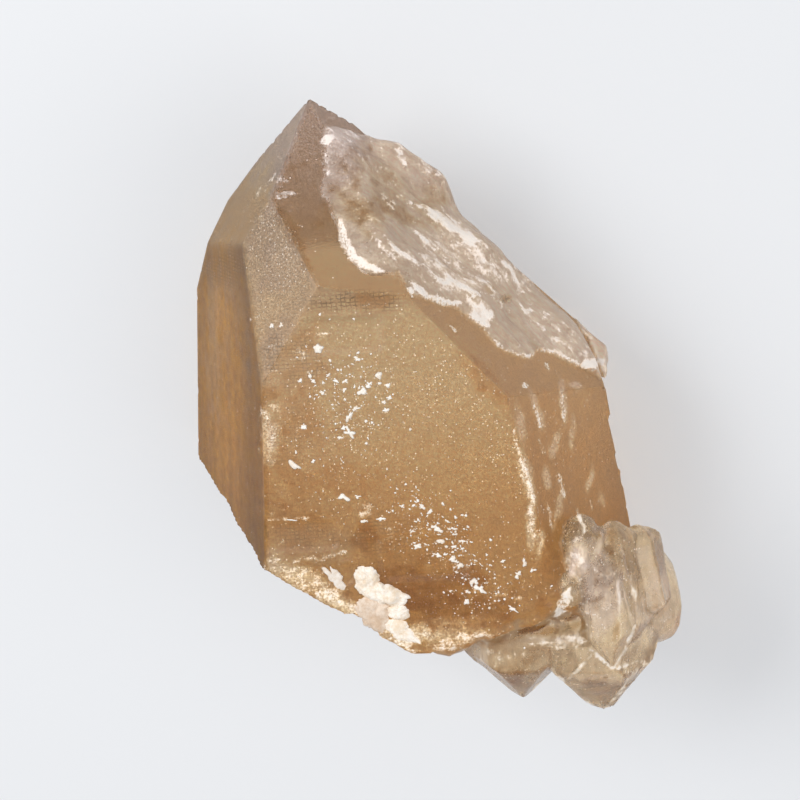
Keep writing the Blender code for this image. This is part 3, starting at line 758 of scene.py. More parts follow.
# Soft pale places a little way inside the stone.
SOFT_PLACES = each_of(
    Patch,
    (29.3, -0.4, 0.7, 4.3, 4, 0.55, 0.8), (31.5, 2.7, 1.6, 0.7, -10, 0.6, 0.7),
    (28.2, -7.2, 0.9, 2.7, -20, 0.6, 0.8), (34.2, -14.4, 0.9, 3.1, -12, 0.65, 0.8),
    (28.2, -20.5, 0.7, 4.0, -12, 0.6, 0.8), (25.2, -26.4, 0.7, 4.0, -8, 0.65, 0.8),
    (26.4, -14.4, 0.7, 2.9, 10, 0.6, 0.8), (36.3, -18.0, 0.9, 1.6, 20, 0.45, 0.8),
    (31.3, -29.5, 0.9, 4.3, -12, 0.6, 0.8), (36.3, -25.5, 0.9, 4.0, -20, 0.6, 0.8),
    (23.7, -23.7, 0.7, 4.0, 0, 0.65, 0.8), (30.9, -7.2, 0.7, 3.6, -6, 0.5, 0.8),
    (22.7, -12.9, 1.3, 6.1, 14, 0.6, 0.6), (21.8, -5.4, 0.9, 4.7, 8, 0.5, 0.6),
    (24.8, -1.8, 0.7, 3.6, 20, 0.6, 0.8), (-23.6, -7.2, 1.8, 4.7, 0, 0.5, 0.7),
    (32.0, -28.8, 2.3, 3.6, 0, 0.4, 0.2), (36.3, -34.5, 3.6, 7.2, 0, 0.12, 0.2),
    (7.2, -41.4, 10.8, 2.3, 8, 0.6, 0.5), (-9.9, -37.4, 6.1, 1.8, -28, 0.6, 0.5),
    (-18.0, -32.0, 6.1, 2.9, -25, 0.45, 0.6), (-0.9, -41.4, 5.4, 1.8, -14, 0.5, 0.5),
)

# Places cross-hatched by growth lines.
HATCHED_PLACES = each_of(
    Patch,
    (-7.6, 17.8, 9.4, 2.3, 0, 1, 0.25), (-19.8, 6.8, 6.1, 5.4, 0, 0.65, 0.5),
    (-18.0, -7.2, 8.3, 7.2, 0, 0.35, 0.5), (-17.1, -24.3, 8.3, 2.9, 0, 0.55, 0.4),
    (-2.7, -24.3, 5.4, 4.3, 0, 0.45, 0.5), (18.9, 18.2, 1.8, 1.1, 0, 0.7, 0.5),
    (-30.9, 23.7, 4.0, 3.6, 0, 0.5, 0.5), (7.2, -28.8, 9.0, 5.4, 0, 0.25, 0.5),
)

# Places where the most glints are painted into the etched surface's colour.
PAINTED_SPARKLE_PLACES = each_of(
    Patch,
    (-21.0, 27.0, 4.7, 7.9, 32, 0.9, 0.5), (5.4, 5.4, 16.2, 12.6, -20, 0.3, 0.4),
    (-12.6, -7.2, 10.8, 10.8, 0, 0.4, 0.6), (4.5, -26.1, 12.6, 7.2, -35, 0.45, 0.7),
    (-18.0, -32.4, 9.0, 4.3, -20, 0.8, 0.6), (18.0, -7.2, 4.7, 12.6, 20, 0.5, 0.5),
    (12.6, -36.0, 10.8, 5.4, 10, 0.6, 0.6), (9.9, 24.8, 12.6, 5.4, -42, 0.5, 0.6),
    (-10.8, 43.2, 7.2, 7.2, 0, 0.4, 0.6), (36.0, -36.0, 9.0, 10.8, 0, 0.4, 0.6),
    (27.0, -12.6, 7.2, 16.2, 0, 0.3, 0.6), (-31.3, 23.7, 3.6, 3.6, 0, 0.5, 0.6),
)


@dataclass(frozen=True)
class GrowthFinish:
    """How a kind of rough growth looks and how its bright places show, with painted shade and highlights on
    its mounds, hollows and rims.
    """

    frost: float            # roughness
    haze: float             # share of light that it scatters
    depth: float            # tone, from 0 grey through tan to 1 amber
    shade: float            # how bright its tone is
    bright_haze: float      # how much more its bright places scatter
    mound_painted_shade: float      # painted shade: how much brighter it is where it stands out, and darker in its hollows
    rim_highlight_milk: float         # painted highlight: how milky its rims and mounds are
    lumps: float            # how bumpy it is, beyond its roughness


OVERGROWTH = GrowthFinish(0.24, 0.34, 0.20, 1.42, 0.12, 0.50, 1.0, 0.12)
SMALL_CRYSTAL = GrowthFinish(0.16, 0.27, 0.46, 0.90, 0.26, 0.25, 0.4, 0.08)
FRACTURE = GrowthFinish(0.22, 0.22, 0.35, 1.10, 0.0, 0.0, 0.0, 0.40)


@dataclass(frozen=True)
class Mark:
    """How far a marked place changes the stone's scattering, tone and brightness."""

    haze: float
    depth: float
    shade: float


SOFT_MARK = Mark(0.35, -0.50, 0.30)
DARK_MARK = Mark(0.0, 0.30, 0.0)
GREY_MARK = Mark(0.0, -0.40, 0.0)
LIGHT_MARK = Mark(0.0, 0.0, 0.25)
UNEVEN_MARK = Mark(0.0, 0.06, 0.06)     # noise all over the stone
BAND_MARK = Mark(0.0, 0.12, 0.20)       # bands along the left prism


@dataclass(frozen=True)
class Shoulder:
    """The overgrowth's own directions: s along the shoulder's far edge and w towards the front."""

    corner: tuple[float, float, float] = (-9.0, 47.9, -25.1)
    along: tuple[float, float, float] = (0.685, -0.719, -0.116)
    towards_front: tuple[float, float, float] = (-0.198, -0.337, 0.920)

    def coordinates(self, points: np.ndarray) -> np.ndarray:
        """Return s and w of each point, in millimetres."""
        return (points - np.array(self.corner)) @ np.array((self.along, self.towards_front)).T


# ---- Quartz: the material --------------------------------------------------------------------

ADD, MULTIPLY, MULTIPLY_ADD = ({"operation": name} for name in ("ADD", "MULTIPLY", "MULTIPLY_ADD"))
SMOOTH = {"interpolation_type": "SMOOTHSTEP"}
WAVE_SCALE = math.tau / 20.0        # scale at which a wave texture's bands lie 1 apart


@dataclass(frozen=True)
class SmokyCitrineQuartz:
    """Natural quartz, smoky at the tip and citrine below, with etched faces.

    Clear inside, with a golden brown that deepens with the way light takes through it, so the
    volume absorbs and the surface tints only a little. The faces are finely etched, which
    scatters what comes through them, and milky growth adds a share of plain white scattering.
    Veils and painted highlights are dissolved by noise: a place turns white where the noise is high
    enough for how milky it is, so that their borders break up into fine threads and grains. Painted
    glints are bright dots put into the colour.
    """

    name: str
    gloss: float                       # an etched face throws back less than a glassy one
    swing: float                       # how far the etch grain changes the haze
    ior: float = 1.544
    grey: str = "#ead8d0"
    tan: str = "#f6dcb4"
    amber: str = "#edb455"
    smoke: str = "#bf9e6a"
    # The white of veils, painted highlights and painted glints.
    milk_and_highlight: str = "#fbf2e8"
    absorption_colour: str = "#e0c48c"
    absorption_density: float = 12.0
    etch_grain_mm: float = 0.36        # drawn a little coarser than real etch pits, to show
    painted_sparkle_mm: float = 0.42           # spacing of the painted glint dots, which stand for etch pits catching the light, a little coarser
    cloud_mm: float = 1.9              # width of the wisps that a veil breaks into
    streak_mm: float = 0.9             # width of a growth streak
    hatch_mm: tuple[float, float] = (0.68, 0.884)      # between growth lines, drawn coarser to show
    bump_mm: float = 0.25
    bump_strength: float = 0.6

    # Each range is where an effect starts and where it is whole, in noise from 0 to 1.
    grain_range: tuple[float, float] = (0.32, 0.68)
    shade_range: tuple[float, float] = (0.30, 0.70)
    streak_range: tuple[float, float] = (0.28, 0.72)
    veil_range: tuple[float, float] = (0.30, 0.90)
    veil_grain_range: tuple[float, float] = (0.36, 0.62)
    smoke_range: tuple[float, float] = (0.10, 1.10)
    glint_dot_range: tuple[float, float] = (0.40, 0.15)      # distance from a painted glint dot's middle, in cells
    hatch_range: tuple[float, float] = (0.45, 0.95)
    hatch_gap_range: tuple[float, float] = (0.35, 0.60)
    least_clear: float = 0.08          # light that still passes where the scattering is whole

    # What the noises add to an attribute: the clouds' share, the streaks' share and a level.
    veil_noise: tuple[float, float, float] = (1.7, 0.7, -1.2)
    smoke_noise: tuple[float, float, float] = (-1.4, 0.7, 0.35)
    thread_swing: float = 1.6          # how much more than the haze the grain changes a veil
    pit_shade: tuple[float, float] = (-0.3, 0.25)      # darkest and brightest by the grain, in swings
    band_shade: tuple[float, float] = (-0.5, 0.5)
    glint_light: tuple[float, float] = (0.65, 0.10)    # how much a painted glint's brightness varies, and the least
    hatch_distortion: float = 3.0
    faint_lines: float = 0.85          # the lines across, against the lines along
    hatch_shade: float = -0.7
    smoke_haze: float = -0.6
    share_roughness: float = 0.3       # how much rougher the stone is where it scatters

    def build(self) -> bpy.types.Material:
        """Build the material, which reads the attributes that CrystalPoint.write_finish writes.

        Returns:
            The material.
        """
        material, add = new_material(self.name)
        frost, haze, milk_and_highlight, depth, shade, murk, painted_sparkle, hatch, banding, lumpy = (
            add("Attribute", attribute_name=name).outputs["Fac"]
            for name in ("frost", "haze", "milk_and_highlight", "depth", "shade", "murk", "painted_sparkle", "hatch", "banding",
                         "lumpy")
        )
        lay = add("Attribute", attribute_name="lay").outputs["Vector"]
        place = add("TexCoord").outputs["Object"]
        fine, cloud, streak = (
            add("TexNoise", {"Vector": where, "Scale": 1.0 / size, "Detail": detail, "Roughness": 0.7})
            for where, size, detail in ((place, self.etch_grain_mm * MM, 2.0),
                                        (place, self.cloud_mm * MM, 4.0), (lay, self.streak_mm, 2.0))
        )
        grain = add("MapRange", (fine, *self.grain_range, 1.0 - self.swing, 1.0 + self.swing), **SMOOTH)

        # Veils and painted highlights: the milk attribute dissolved by cloud and streak noise, broken up by
        # the grain.
        # Smoke: the same for dark places, where the cloud noise is low, and without the grain.
        covers = []
        for given, (clouds, streaks, level), limits in ((milk_and_highlight, self.veil_noise, self.veil_range),
                                                        (murk, self.smoke_noise, self.smoke_range)):
            mixed = add("Math", (cloud, clouds, level), **MULTIPLY_ADD)
            mixed = add("Math", (streak, streaks, mixed), **MULTIPLY_ADD)
            mixed = add("Math", (given, mixed), **ADD)
            covers.append(add("MapRange", (mixed, *limits), **SMOOTH))
        cover, smoke = covers
        threads = add("MapRange", (fine, *self.veil_grain_range, 1.0 - self.thread_swing * self.swing, 1.0),
                      **SMOOTH)
        veil_and_highlight = add("Math", (cover, threads), **MULTIPLY)

        # Painted glints: some cells of a Voronoi pattern get a bright dot painted into the colour at their
        # middle.
        cells = add("TexVoronoi", {"Vector": place, "Scale": 1.0 / (self.painted_sparkle_mm * MM)}, feature="F1")
        chance = add("SeparateColor", (cells.outputs["Color"],))
        lit = add("Math", (chance.outputs["Red"], painted_sparkle), operation="LESS_THAN")
        glint_dot = add("MapRange", (cells.outputs["Distance"], *self.glint_dot_range), **SMOOTH)
        painted_glint = add("Math", (glint_dot, lit), **MULTIPLY)
        strength = add("Math", (chance.outputs["Green"], *self.glint_light), **MULTIPLY_ADD)
        painted_glint = add("Math", (painted_glint, strength), **MULTIPLY)
        white = add("Math", (veil_and_highlight, painted_glint), operation="MAXIMUM")

        # Hatching: two sets of growth lines that cross, where the hatch attribute is high.
        along, across = (
            add("TexWave", {"Vector": place, "Scale": WAVE_SCALE / (spacing * MM),
                            "Distortion": self.hatch_distortion, "Detail": 1.0, "Detail Scale": 1.5},
                wave_type="BANDS", bands_direction=axis).outputs["Fac"]
            for axis, spacing in zip("YX", self.hatch_mm)
        )
        fainter = add("Math", (across, self.faint_lines), **MULTIPLY)
        crossed = add("Math", (along, fainter), operation="MAXIMUM")
        crossed = add("MapRange", (crossed, *self.hatch_range), **SMOOTH)
        gaps = add("MapRange", (cloud, *self.hatch_gap_range), **SMOOTH)
        crossed = add("Math", (crossed, gaps), **MULTIPLY)
        hatched = add("Math", (crossed, hatch), **MULTIPLY)

        # Colour: the tone by the depth attribute, its brightness, smoke over it, then veils, painted
        # highlights and painted glints.
        tone = add("ValToRGB", (depth,))
        set_ramp(tone.color_ramp, ((0.0, self.grey), (1.0, self.amber), (0.5, self.tan)))
        darkest, brightest = (1.0 + amount * self.swing for amount in self.pit_shade)
        pits = add("MapRange", (fine, *self.shade_range, darkest, brightest), **SMOOTH)
        shade = add("Math", (shade, pits), **MULTIPLY)
        bands = add("MapRange", (streak, *self.streak_range, *self.band_shade), **SMOOTH)
        bands = add("Math", (banding, bands), **MULTIPLY)
        shade = add("Math", (shade, add("Math", (bands, 1.0), **ADD)), **MULTIPLY)
        lines = add("Math", (hatched, self.hatch_shade, 1.0), **MULTIPLY_ADD)
        shade = add("Math", (shade, lines), **MULTIPLY)
        body = add("VectorMath", {0: tone, "Scale": shade}, operation="SCALE")
        smoked = add("Mix", {"Factor": smoke, 6: body, 7: linear(self.smoke)}, data_type="RGBA",
                     blend_type="MULTIPLY").outputs[2]
        pale = add("Mix", {"Factor": white, 6: smoked, 7: linear(self.milk_and_highlight)}, data_type="RGBA").outputs[2]

        # Scattering: the haze with its grain, less in smoke, and the veils, painted highlights and painted
        # glints.
        smoky = add("Math", (smoke, self.smoke_haze, 1.0), **MULTIPLY_ADD)
        even = add("Math", (haze, add("Math", (grain, smoky), **MULTIPLY)), **MULTIPLY)
        share = add("Math", (even, white), **ADD)
        height = add("Math", (fine, add("Math", (frost, lumpy), **ADD)), **MULTIPLY)
        surface = add("BsdfPrincipled", {
            "IOR": self.ior,
            "Specular IOR Level": self.gloss,
            "Base Color": pale,
            "Roughness": add("Math", (share, self.share_roughness, frost), **MULTIPLY_ADD),
            "Transmission Weight": add("MapRange", (share, 0.0, 1.0, 1.0, self.least_clear), **SMOOTH),
            "Normal": add("Bump", {"Strength": self.bump_strength, "Distance": self.bump_mm * MM,
                                   "Height": height}),
        })
        inside = add("VolumeAbsorption", {"Color": linear(self.absorption_colour),
                                          "Density": self.absorption_density})
        add("OutputMaterial", {"Surface": surface, "Volume": inside})
        return material


# Fine etching takes the mirror off the flat faces, so they look silky and grainy. The overgrowth and
# the small crystals keep their glassy growth surface, so they flash where they face a lamp.
ETCHED_QUARTZ = SmokyCitrineQuartz("quartz, natural, etched faces", 0.07, 0.45)
GLASSY_QUARTZ = SmokyCitrineQuartz("quartz, natural, glassy growth", 0.35, 0.16)


# ---- The crystal -----------------------------------------------------------------------------

@dataclass
class Zones:
    """What kind of growth each vertex of the crystal belongs to, as shares from 0 to 1."""

    faces: np.ndarray       # one column for each flat face
    flat: np.ndarray        # on a flat face of the big crystal
    grown: np.ndarray       # overgrowth on the shoulder
    bunch: np.ndarray       # small crystals
    broken: np.ndarray      # broken end


@dataclass
class CrystalPoint:
    """The whole grown-together crystal: body, shoulder overgrowth, small crystals, broken end."""

    voxel: float = 0.62             # spacing of the fine mesh
    edge_reach: float = 0.55        # how near an edge a vertex has to be to go onto it, in voxels
    hull_reach: float = 0.30        # how near a face's plane counts as on it
    edge_blend: float = 0.9         # width over which two faces' finishes mix at their edge
    soft_edge: float = 1.3          # blend between the right prism and the steep face over it
    snap_rounds: int = 10
    least_sine: float = 0.05        # for two faces that are nearly parallel
    growth_ease: float = 0.45       # how far a round of relaxing evens the overgrowth
    break_ease: float = 0.50        # the same for the broken end
    ease_rounds: int = 3

    # Where each growth starts and is whole, as how far it stands out of the big crystal's faces.
    overgrowth_from: tuple[float, float] = (0.12, 0.45)
    bunch_from: tuple[float, float] = (0.15, 0.50)
    fracture_from: tuple[float, float] = (-0.9, -1.6)
    fracture_top: float = -26.0     # the broken end lies below this
    bunch_corner: tuple[float, float] = (0.0, -20.0)    # the bunch lies right of this, and below it
    bunch_foot: tuple[float, float] = (-47.0, -49.5)    # all is bunch below this, right of the next
    bunch_foot_side: float = 8.0

    # Relief: each height, with the size of its noise.
    ridge_height: float = 0.272
    ridge_cell: tuple[float, float, float] = (9.0, 1.9, 20.0)   # long along the shoulder
    scallop_height: float = 0.306
    scallop_size: float = 4.2
    ripple_height: float = 0.22
    ripple_centre: tuple[float, float] = (-18.0, -34.0)     # x and z that the ripples bend round
    ripple_spacing: float = 5.2
    ripple_wander: float = 1.8      # how far a ripple leaves its circle
    ripple_wander_size: float = 9.0
    break_height: float = 0.132     # unevenness between the ripples
    break_size: float = 3.0
    long_lump_height: float = 0.16
    long_lump_cell: tuple[float, float, float] = (1.6, 7.0, 1.6)
    small_lump_height: float = 0.06
    small_lump_size: float = 1.4
    face_height: float = 0.015
    face_size: float = 2.4

    # How each region's points are squeezed, so that noise is drawn out into streaks there.
    front_lay: tuple[float, float, float] = (0.14, 1.0, 1.0)
    left_lay: tuple[float, float, float] = (1.0, 0.10, 1.0)
    right_lay: tuple[float, float, float] = (1.0, 0.30, 1.0)
    bunch_lay: tuple[float, float, float] = (1.0, 0.35, 1.0)
    shoulder_lay: tuple[float, float, float] = (0.35, 1.0, 0.30)
    shoulder_apart: float = 40.0    # keeps its streaks from meeting those of the faces

    # Finish: each range is the heights, or cosines to the sight, where a change starts and is whole.
    seen_from: tuple[float, float] = (-0.05, 0.25)
    gold_range: tuple[float, float] = (8.0, -34.0)
    gold_depth: float = 0.30
    grey_range: tuple[float, float] = (22.0, 46.0)
    grey_depth: float = 0.16
    foot_range: tuple[float, float] = (0.0, -34.0)
    foot_shade: float = 0.10
    tip_range: tuple[float, float] = (30.0, 48.0)
    tip_shade: float = 0.08
    tip_haze: float = 0.10
    left_top_range: tuple[float, float] = (14.0, 26.0)  # the left prism is darker above it
    left_top_shade: float = 0.20
    whole_shade: float = 1.06       # brightness of the stone before anything darkens it
    rag_sizes: tuple[float, float] = (3.2, 1.3)         # coarse and fine raggedness of all marks
    rag_fine: float = 0.50          # share of the fine one
    rag_haze: float = 0.20
    rag_frost: float = 0.05
    veil_frost: float = 0.20        # how much rougher a veil is
    veil_dark_loss: float = 0.50    # share of a veil that a dark place takes away
    left_smoke: float = 0.50        # smoke all over the left prism
    steep_smoke: float = 0.30       # smoke all over the steep face on the right
    growth_smoke_loss: float = 0.30
    # Painted sparkle: how many glint dots are painted into the colour, all over, where seen and in the
    # sparkling places, and how many fewer on the clear end face and the left prism.
    sparkle_all: float = 0.05
    sparkle_seen: float = 0.05
    sparkle_place: float = 0.50
    end_sparkle_loss: float = 0.85  # the clear end face gets the fewest painted glints
    left_sparkle_loss: float = 0.80
    growth_banding: float = 0.25
    hatch_banding: float = 0.20
    band_cell: tuple[float, float, float] = (2.1, 42.0, 2.1)    # long up the left prism
    rim_highlight: float = 1.2          # painted highlight: how much milkier a convex rim of the rough growth is
    rim_most: float = 0.20
    mound_highlight: float = 0.35       # painted highlight: the same for a broad mound
    mound_most: float = 0.50
    mound_rounds: int = 14          # rounds of relaxing that a mound stands out of
    unseen_rag: tuple[float, float] = (0.1, 0.8)        # raggedness of the veils that are turned away
    unseen_milk: float = 0.18
    unseen_growth_milk: float = 0.25
    shoulder: Shoulder = field(default_factory=Shoulder)

    def __post_init__(self) -> None:
        """Work out the planes of the faces and the sines of the angles between them."""
        self.normals = np.array([face.normal() for face in FACES])
        self.distances = np.array([face.distance for face in FACES])
        cosines = self.normals @ self.normals.T
        self.sines = np.sqrt(np.clip(1.0 - cosines ** 2, self.least_sine ** 2, 1.0))

    def gaps(self, points: np.ndarray) -> np.ndarray:
        """Return how far each point stands out of each face's plane, one column for each face."""
        return points @ self.normals.T - self.distances

    def fine_copy(self) -> bpy.types.Mesh:
        """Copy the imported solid, merge it and remesh it evenly.

        Returns:
            The fine mesh, in the crystal's millimetres.
        """
        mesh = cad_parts["crystal_point"].data.copy()
        shape = bmesh.new()
        shape.from_mesh(mesh)
        bmesh.ops.remove_doubles(shape, verts=shape.verts, dist=0.001 * MM)
        bmesh.ops.recalc_face_normals(shape, faces=shape.faces)
        to_crystal = Matrix.Translation(Vector(-HUB)) @ Matrix.Scale(1.0 / MM, 4)
        bmesh.ops.transform(shape, matrix=to_crystal, verts=shape.verts)
        shape.to_mesh(mesh)
        shape.free()
        rough = bpy.data.objects.new("rough", mesh)
        bpy.context.scene.collection.objects.link(rough)
        remesh = rough.modifiers.new("even", "REMESH")
        remesh.mode = "VOXEL"
        remesh.voxel_size = self.voxel
        ready = rough.evaluated_get(bpy.context.evaluated_depsgraph_get())
        fine = bpy.data.meshes.new_from_object(ready)
        bpy.data.objects.remove(rough)
        return fine

    def close_faces(self, gaps: np.ndarray) -> np.ndarray:
        """Say which faces each vertex goes onto: the nearest, and any whose edge is close by.

        Args:
            gaps: How far each vertex stands out of each face's plane.

        Returns:
            True or False for each vertex and face.
        """
        nearest = gaps.argmax(axis=1)
        close = -gaps / self.sines[nearest] < self.edge_reach * self.voxel
        close[np.arange(len(gaps)), nearest] = True
        close &= (np.abs(gaps.max(axis=1)) < self.hull_reach)[:, None]
        soft = close[:, RIGHT_PRISM] & close[:, STEEP_RIGHT]
        close[soft, RIGHT_PRISM] = nearest[soft] != STEEP_RIGHT
        close[soft, STEEP_RIGHT] = nearest[soft] == STEEP_RIGHT
        return close

    def snapped(self, points: np.ndarray, close: np.ndarray) -> np.ndarray:
        """Put vertices back on the flat faces and crisp edges that remeshing wore off.

        A vertex is projected onto each plane that it is close to in turn, until it lies on all
        of them.

        Args:
            points: Vertices.
            close: The faces that each vertex goes onto.

        Returns:
            The moved vertices.
        """
        moved = points.copy()
        for _ in range(self.snap_rounds):
            for k, normal in enumerate(self.normals):
                out = moved @ normal - self.distances[k]
                moved -= np.where(close[:, k], out, 0.0)[:, None] * normal
        return moved

    def zones(self, points: np.ndarray, gaps: np.ndarray) -> Zones:
        """Sort the vertices into flat faces, overgrowth, small crystals and broken end.

        The overgrowth and the small crystals stand out of the big crystal's faces, and the
        broken end lies inside them. Near an edge a vertex shares both faces' finishes, by how
        near it is to each plane along the surface.

        Args:
            points: Vertices.
            gaps: How far each stands out of each face's plane.

        Returns:
            The shares.
        """
        outside = gaps.max(axis=1)
        nearest = gaps.argmax(axis=1)
        shares = np.clip(1.0 + gaps / self.sines[nearest] / self.edge_blend, 0.0, 1.0)
        shares[np.arange(len(gaps)), nearest] = 1.0
        shares /= shares.sum(axis=1, keepdims=True)
        low_corner = (points[:, 0] > self.bunch_corner[0]) & (points[:, 1] < self.bunch_corner[1])
        bunch = smoothstep(*self.bunch_from, outside) * low_corner
        foot = smoothstep(*self.bunch_foot, points[:, 1]) * (points[:, 0] > self.bunch_foot_side)
        bunch = np.maximum(bunch, foot)
        broken = smoothstep(*self.fracture_from, outside) * (points[:, 1] < self.fracture_top)
        return Zones(
            faces=shares,
            flat=np.abs(outside) < 0.5 * self.hull_reach,
            grown=smoothstep(*self.overgrowth_from, outside) * ~low_corner,
            bunch=bunch,
            broken=broken * (1.0 - bunch),
        )

    def triangles(self, quads: np.ndarray, on_edge: np.ndarray) -> np.ndarray:
        """Split each quad along the diagonal that lies on an edge of the crystal.

        Args:
            quads: Four vertex numbers to a row.
            on_edge: Whether each vertex lies on an edge.

        Returns:
            Three vertex numbers to a row.
        """
        a, b, c, d = quads.T
        turned = (on_edge[b] & on_edge[d]) & ~(on_edge[a] & on_edge[c])
        first = np.where(turned, (a, b, d), (a, b, c)).T
        second = np.where(turned, (b, c, d), (a, c, d)).T
        return np.concatenate((first, second))

    def build(self) -> bpy.types.Object:
        """Build the crystal: fine mesh, crisp faces, relief, and the attributes it is coloured by.

        Returns:
            The crystal.
        """
        mesh = self.fine_copy()
        points, edges = vertices_of(mesh), edges_of(mesh)
        quads = rows_of(mesh.loops, "vertex_index", 1, np.int32).reshape(-1, 4)
        gaps = self.gaps(points)
        close = self.close_faces(gaps)
        zones = self.zones(points, gaps)
        ease = np.clip(self.growth_ease * zones.grown + self.break_ease * zones.broken, 0.0, self.break_ease)
        moved = relaxed(self.snapped(points, close), edges, ease, self.ease_rounds)
        mesh.vertices.foreach_set("co", moved.astype(np.float32).ravel())
        mesh.update()
        moved = moved + normals_of(mesh) * self.relief(moved, zones, gaps)[:, None]
        moved[:, 2] = np.maximum(moved[:, 2], -THICKNESS)
        bpy.data.meshes.remove(mesh)

        on_edge = close.sum(axis=1) > 1
        triangles = self.triangles(quads, on_edge)
        made = mesh_object("crystal", moved, triangles)
        ends = edges_of(made.data)
        crisp = (close[ends[:, 0]] & close[ends[:, 1]]).sum(axis=1) > 1
        sharp = made.data.attributes.new("sharp_edge", "BOOLEAN", "EDGE")
        sharp.data.foreach_set("value", crisp)
        self.write_finish(made.data, moved, ends, zones)
        made.data.materials.append(ETCHED_QUARTZ.build())
        made.data.materials.append(GLASSY_QUARTZ.build())
        rough_growth = np.maximum.reduce((zones.grown, zones.bunch, zones.broken)) > 0.5
        glassy = rough_growth[triangles].all(axis=1)
        made.data.polygons.foreach_set("material_index", glassy.astype(np.int32))
        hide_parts("crystal_point")
        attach(made, "root")
        return made

    def relief(self, points: np.ndarray, zones: Zones, gaps: np.ndarray) -> np.ndarray:
        """Return how far each vertex moves out along its normal.

        The overgrowth has ridges that run along the shoulder: noise drawn out along s. The
        broken end has curved ripples: a sine of the distance from a point off the break. The
        front face has growth steps. The right prism and the face over it are blended.

        Args:
            points: Vertices.
            zones: What each vertex belongs to.
            gaps: How far each vertex stood out of each face's plane.

        Returns:
            One distance for each vertex, in millimetres.
        """
        sw = self.shoulder.coordinates(points)
        ridges = 1.0 - 2.0 * np.abs(noise(np.column_stack((sw, points[:, 2])), self.ridge_cell, Seed.RIDGES))
        scallops = self.scallop_height * fractal(points, self.scallop_size, Seed.SCALLOPS)
        push = zones.grown * (self.ridge_height * ridges + scallops)

        across, back = self.ripple_centre
        reach = np.hypot(points[:, 0] - across, points[:, 2] - back)
        reach += self.ripple_wander * noise(points, self.ripple_wander_size, Seed.FRACTURE)
        ripples = self.ripple_height * np.sin(reach / self.ripple_spacing * math.tau)
        ripples += self.break_height * fractal(points, self.break_size, Seed.RIPPLES, 2)
        push += zones.broken * ripples

        lumps = self.long_lump_height * fractal(points, self.long_lump_cell, Seed.LONG_LUMPS, 2)
        lumps += self.small_lump_height * fractal(points, self.small_lump_size, Seed.SMALL_LUMPS, 2)
        push += zones.bunch * lumps

        nearest = gaps.argmax(axis=1)
        front = zones.flat & (nearest == FRONT_PRISM)
        push -= front * sum(line.rise(points) for line in GROWTH_LINES)

        apart = gaps[:, RIGHT_PRISM] - gaps[:, STEEP_RIGHT]
        near = np.clip(1.0 - np.abs(apart) / self.soft_edge, 0.0, 1.0)
        blended = zones.flat & np.isin(nearest, (RIGHT_PRISM, STEEP_RIGHT))
        push -= blended * near ** 2 * self.soft_edge / 4.0
        return push + zones.flat * self.face_height * fractal(points, self.face_size, Seed.FACES)

    def strata(self, points: np.ndarray, zones: Zones) -> np.ndarray:
        """Return the coordinates that streaks are drawn in, squeezed along the streaks.

        Growth lines run across the front and the end faces, bands run along the left prism, the
        overgrowth is streaked along the shoulder, and the small crystals along their length.

        Args:
            points: Vertices.
            zones: What each vertex belongs to.

        Returns:
            One row for each vertex, in millimetres.
        """
        sw = self.shoulder.coordinates(points)
        shouldered = np.column_stack((sw, points[:, 2])) * self.shoulder_lay + (0.0, 0.0, self.shoulder_apart)
        nearest = zones.faces.argmax(axis=1)
        lay = points * self.front_lay
        for here, squeezed in (
                (nearest == LEFT_PRISM, points * self.left_lay),
                (nearest == RIGHT_PRISM, points * self.right_lay),
                (zones.grown > 0.5, shouldered),
                (zones.bunch > 0.5, points * self.bunch_lay)):
            lay = np.where(here[:, None], squeezed, lay)
        return lay

    def write_finish(self, mesh: bpy.types.Mesh, points: np.ndarray, edges: np.ndarray,
                     zones: Zones) -> None:
        """Write the attributes that the quartz reads.

        They are frost (roughness), haze (even scattering), milk_and_highlight (veils, and painted highlights
        on rims, crescents and mounds), depth (tone), shade (brightness, with painted shade by mounds and
        hollows), murk (dark smoke), painted_sparkle (painted glints), hatch, banding, lumpy (bump), and lay
        (the streaks' coordinates).

        Args:
            mesh: The crystal's mesh.
            points: Its vertices, in the crystal's frame.
            edges: Pairs of vertex numbers.
            zones: What each vertex belongs to.
        """
        normals = normals_of(mesh)
        plane = SIGHT.plane(points)
        height, z = points[:, 1], points[:, 2]
        left = zones.faces[:, LEFT_PRISM]
        seen = smoothstep(*self.seen_from, normals @ SIGHT.axes()[2])
        coarse, fine = self.rag_sizes
        rag = fractal(points, coarse, Seed.RAGGED, 4)
        rag += self.rag_fine * fractal(points, fine, Seed.RAGGED_FINE, 2)
        growths = ((OVERGROWTH, zones.grown), (SMALL_CRYSTAL, zones.bunch), (FRACTURE, zones.broken))

        def painted(marks: tuple[Patch | Stroke, ...]) -> np.ndarray:
            """Return the strongest of the marks at each vertex that the camera can see."""
            return seen * np.max([mark.weight(plane, rag) for mark in marks], axis=0)

        def standing(rounds: int) -> np.ndarray:
            """Return how far each vertex stands out of the mean of its surroundings, in millimetres."""
            mean = relaxed(points, edges, np.ones(len(points)), rounds)
            return ((points - mean) * normals).sum(axis=1)

        def shared(name: str) -> np.ndarray:
            """Return the growths' values of that name, each by its share of the vertex."""
            return sum(getattr(growth, name) * share for growth, share in growths)

        finish = [(*face.etch.value, face.depth, face.light, face.banding) for face in FACES]
        frost, haze, depth, shade, banding = (zones.faces @ np.array(finish)).T
        depth += self.gold_depth * smoothstep(*self.gold_range, height)
        depth -= self.grey_depth * smoothstep(*self.grey_range, height)
        for growth, share in growths:
            for name, values in (("frost", frost), ("haze", haze), ("depth", depth), ("shade", shade)):
                values += share * (getattr(growth, name) - values)

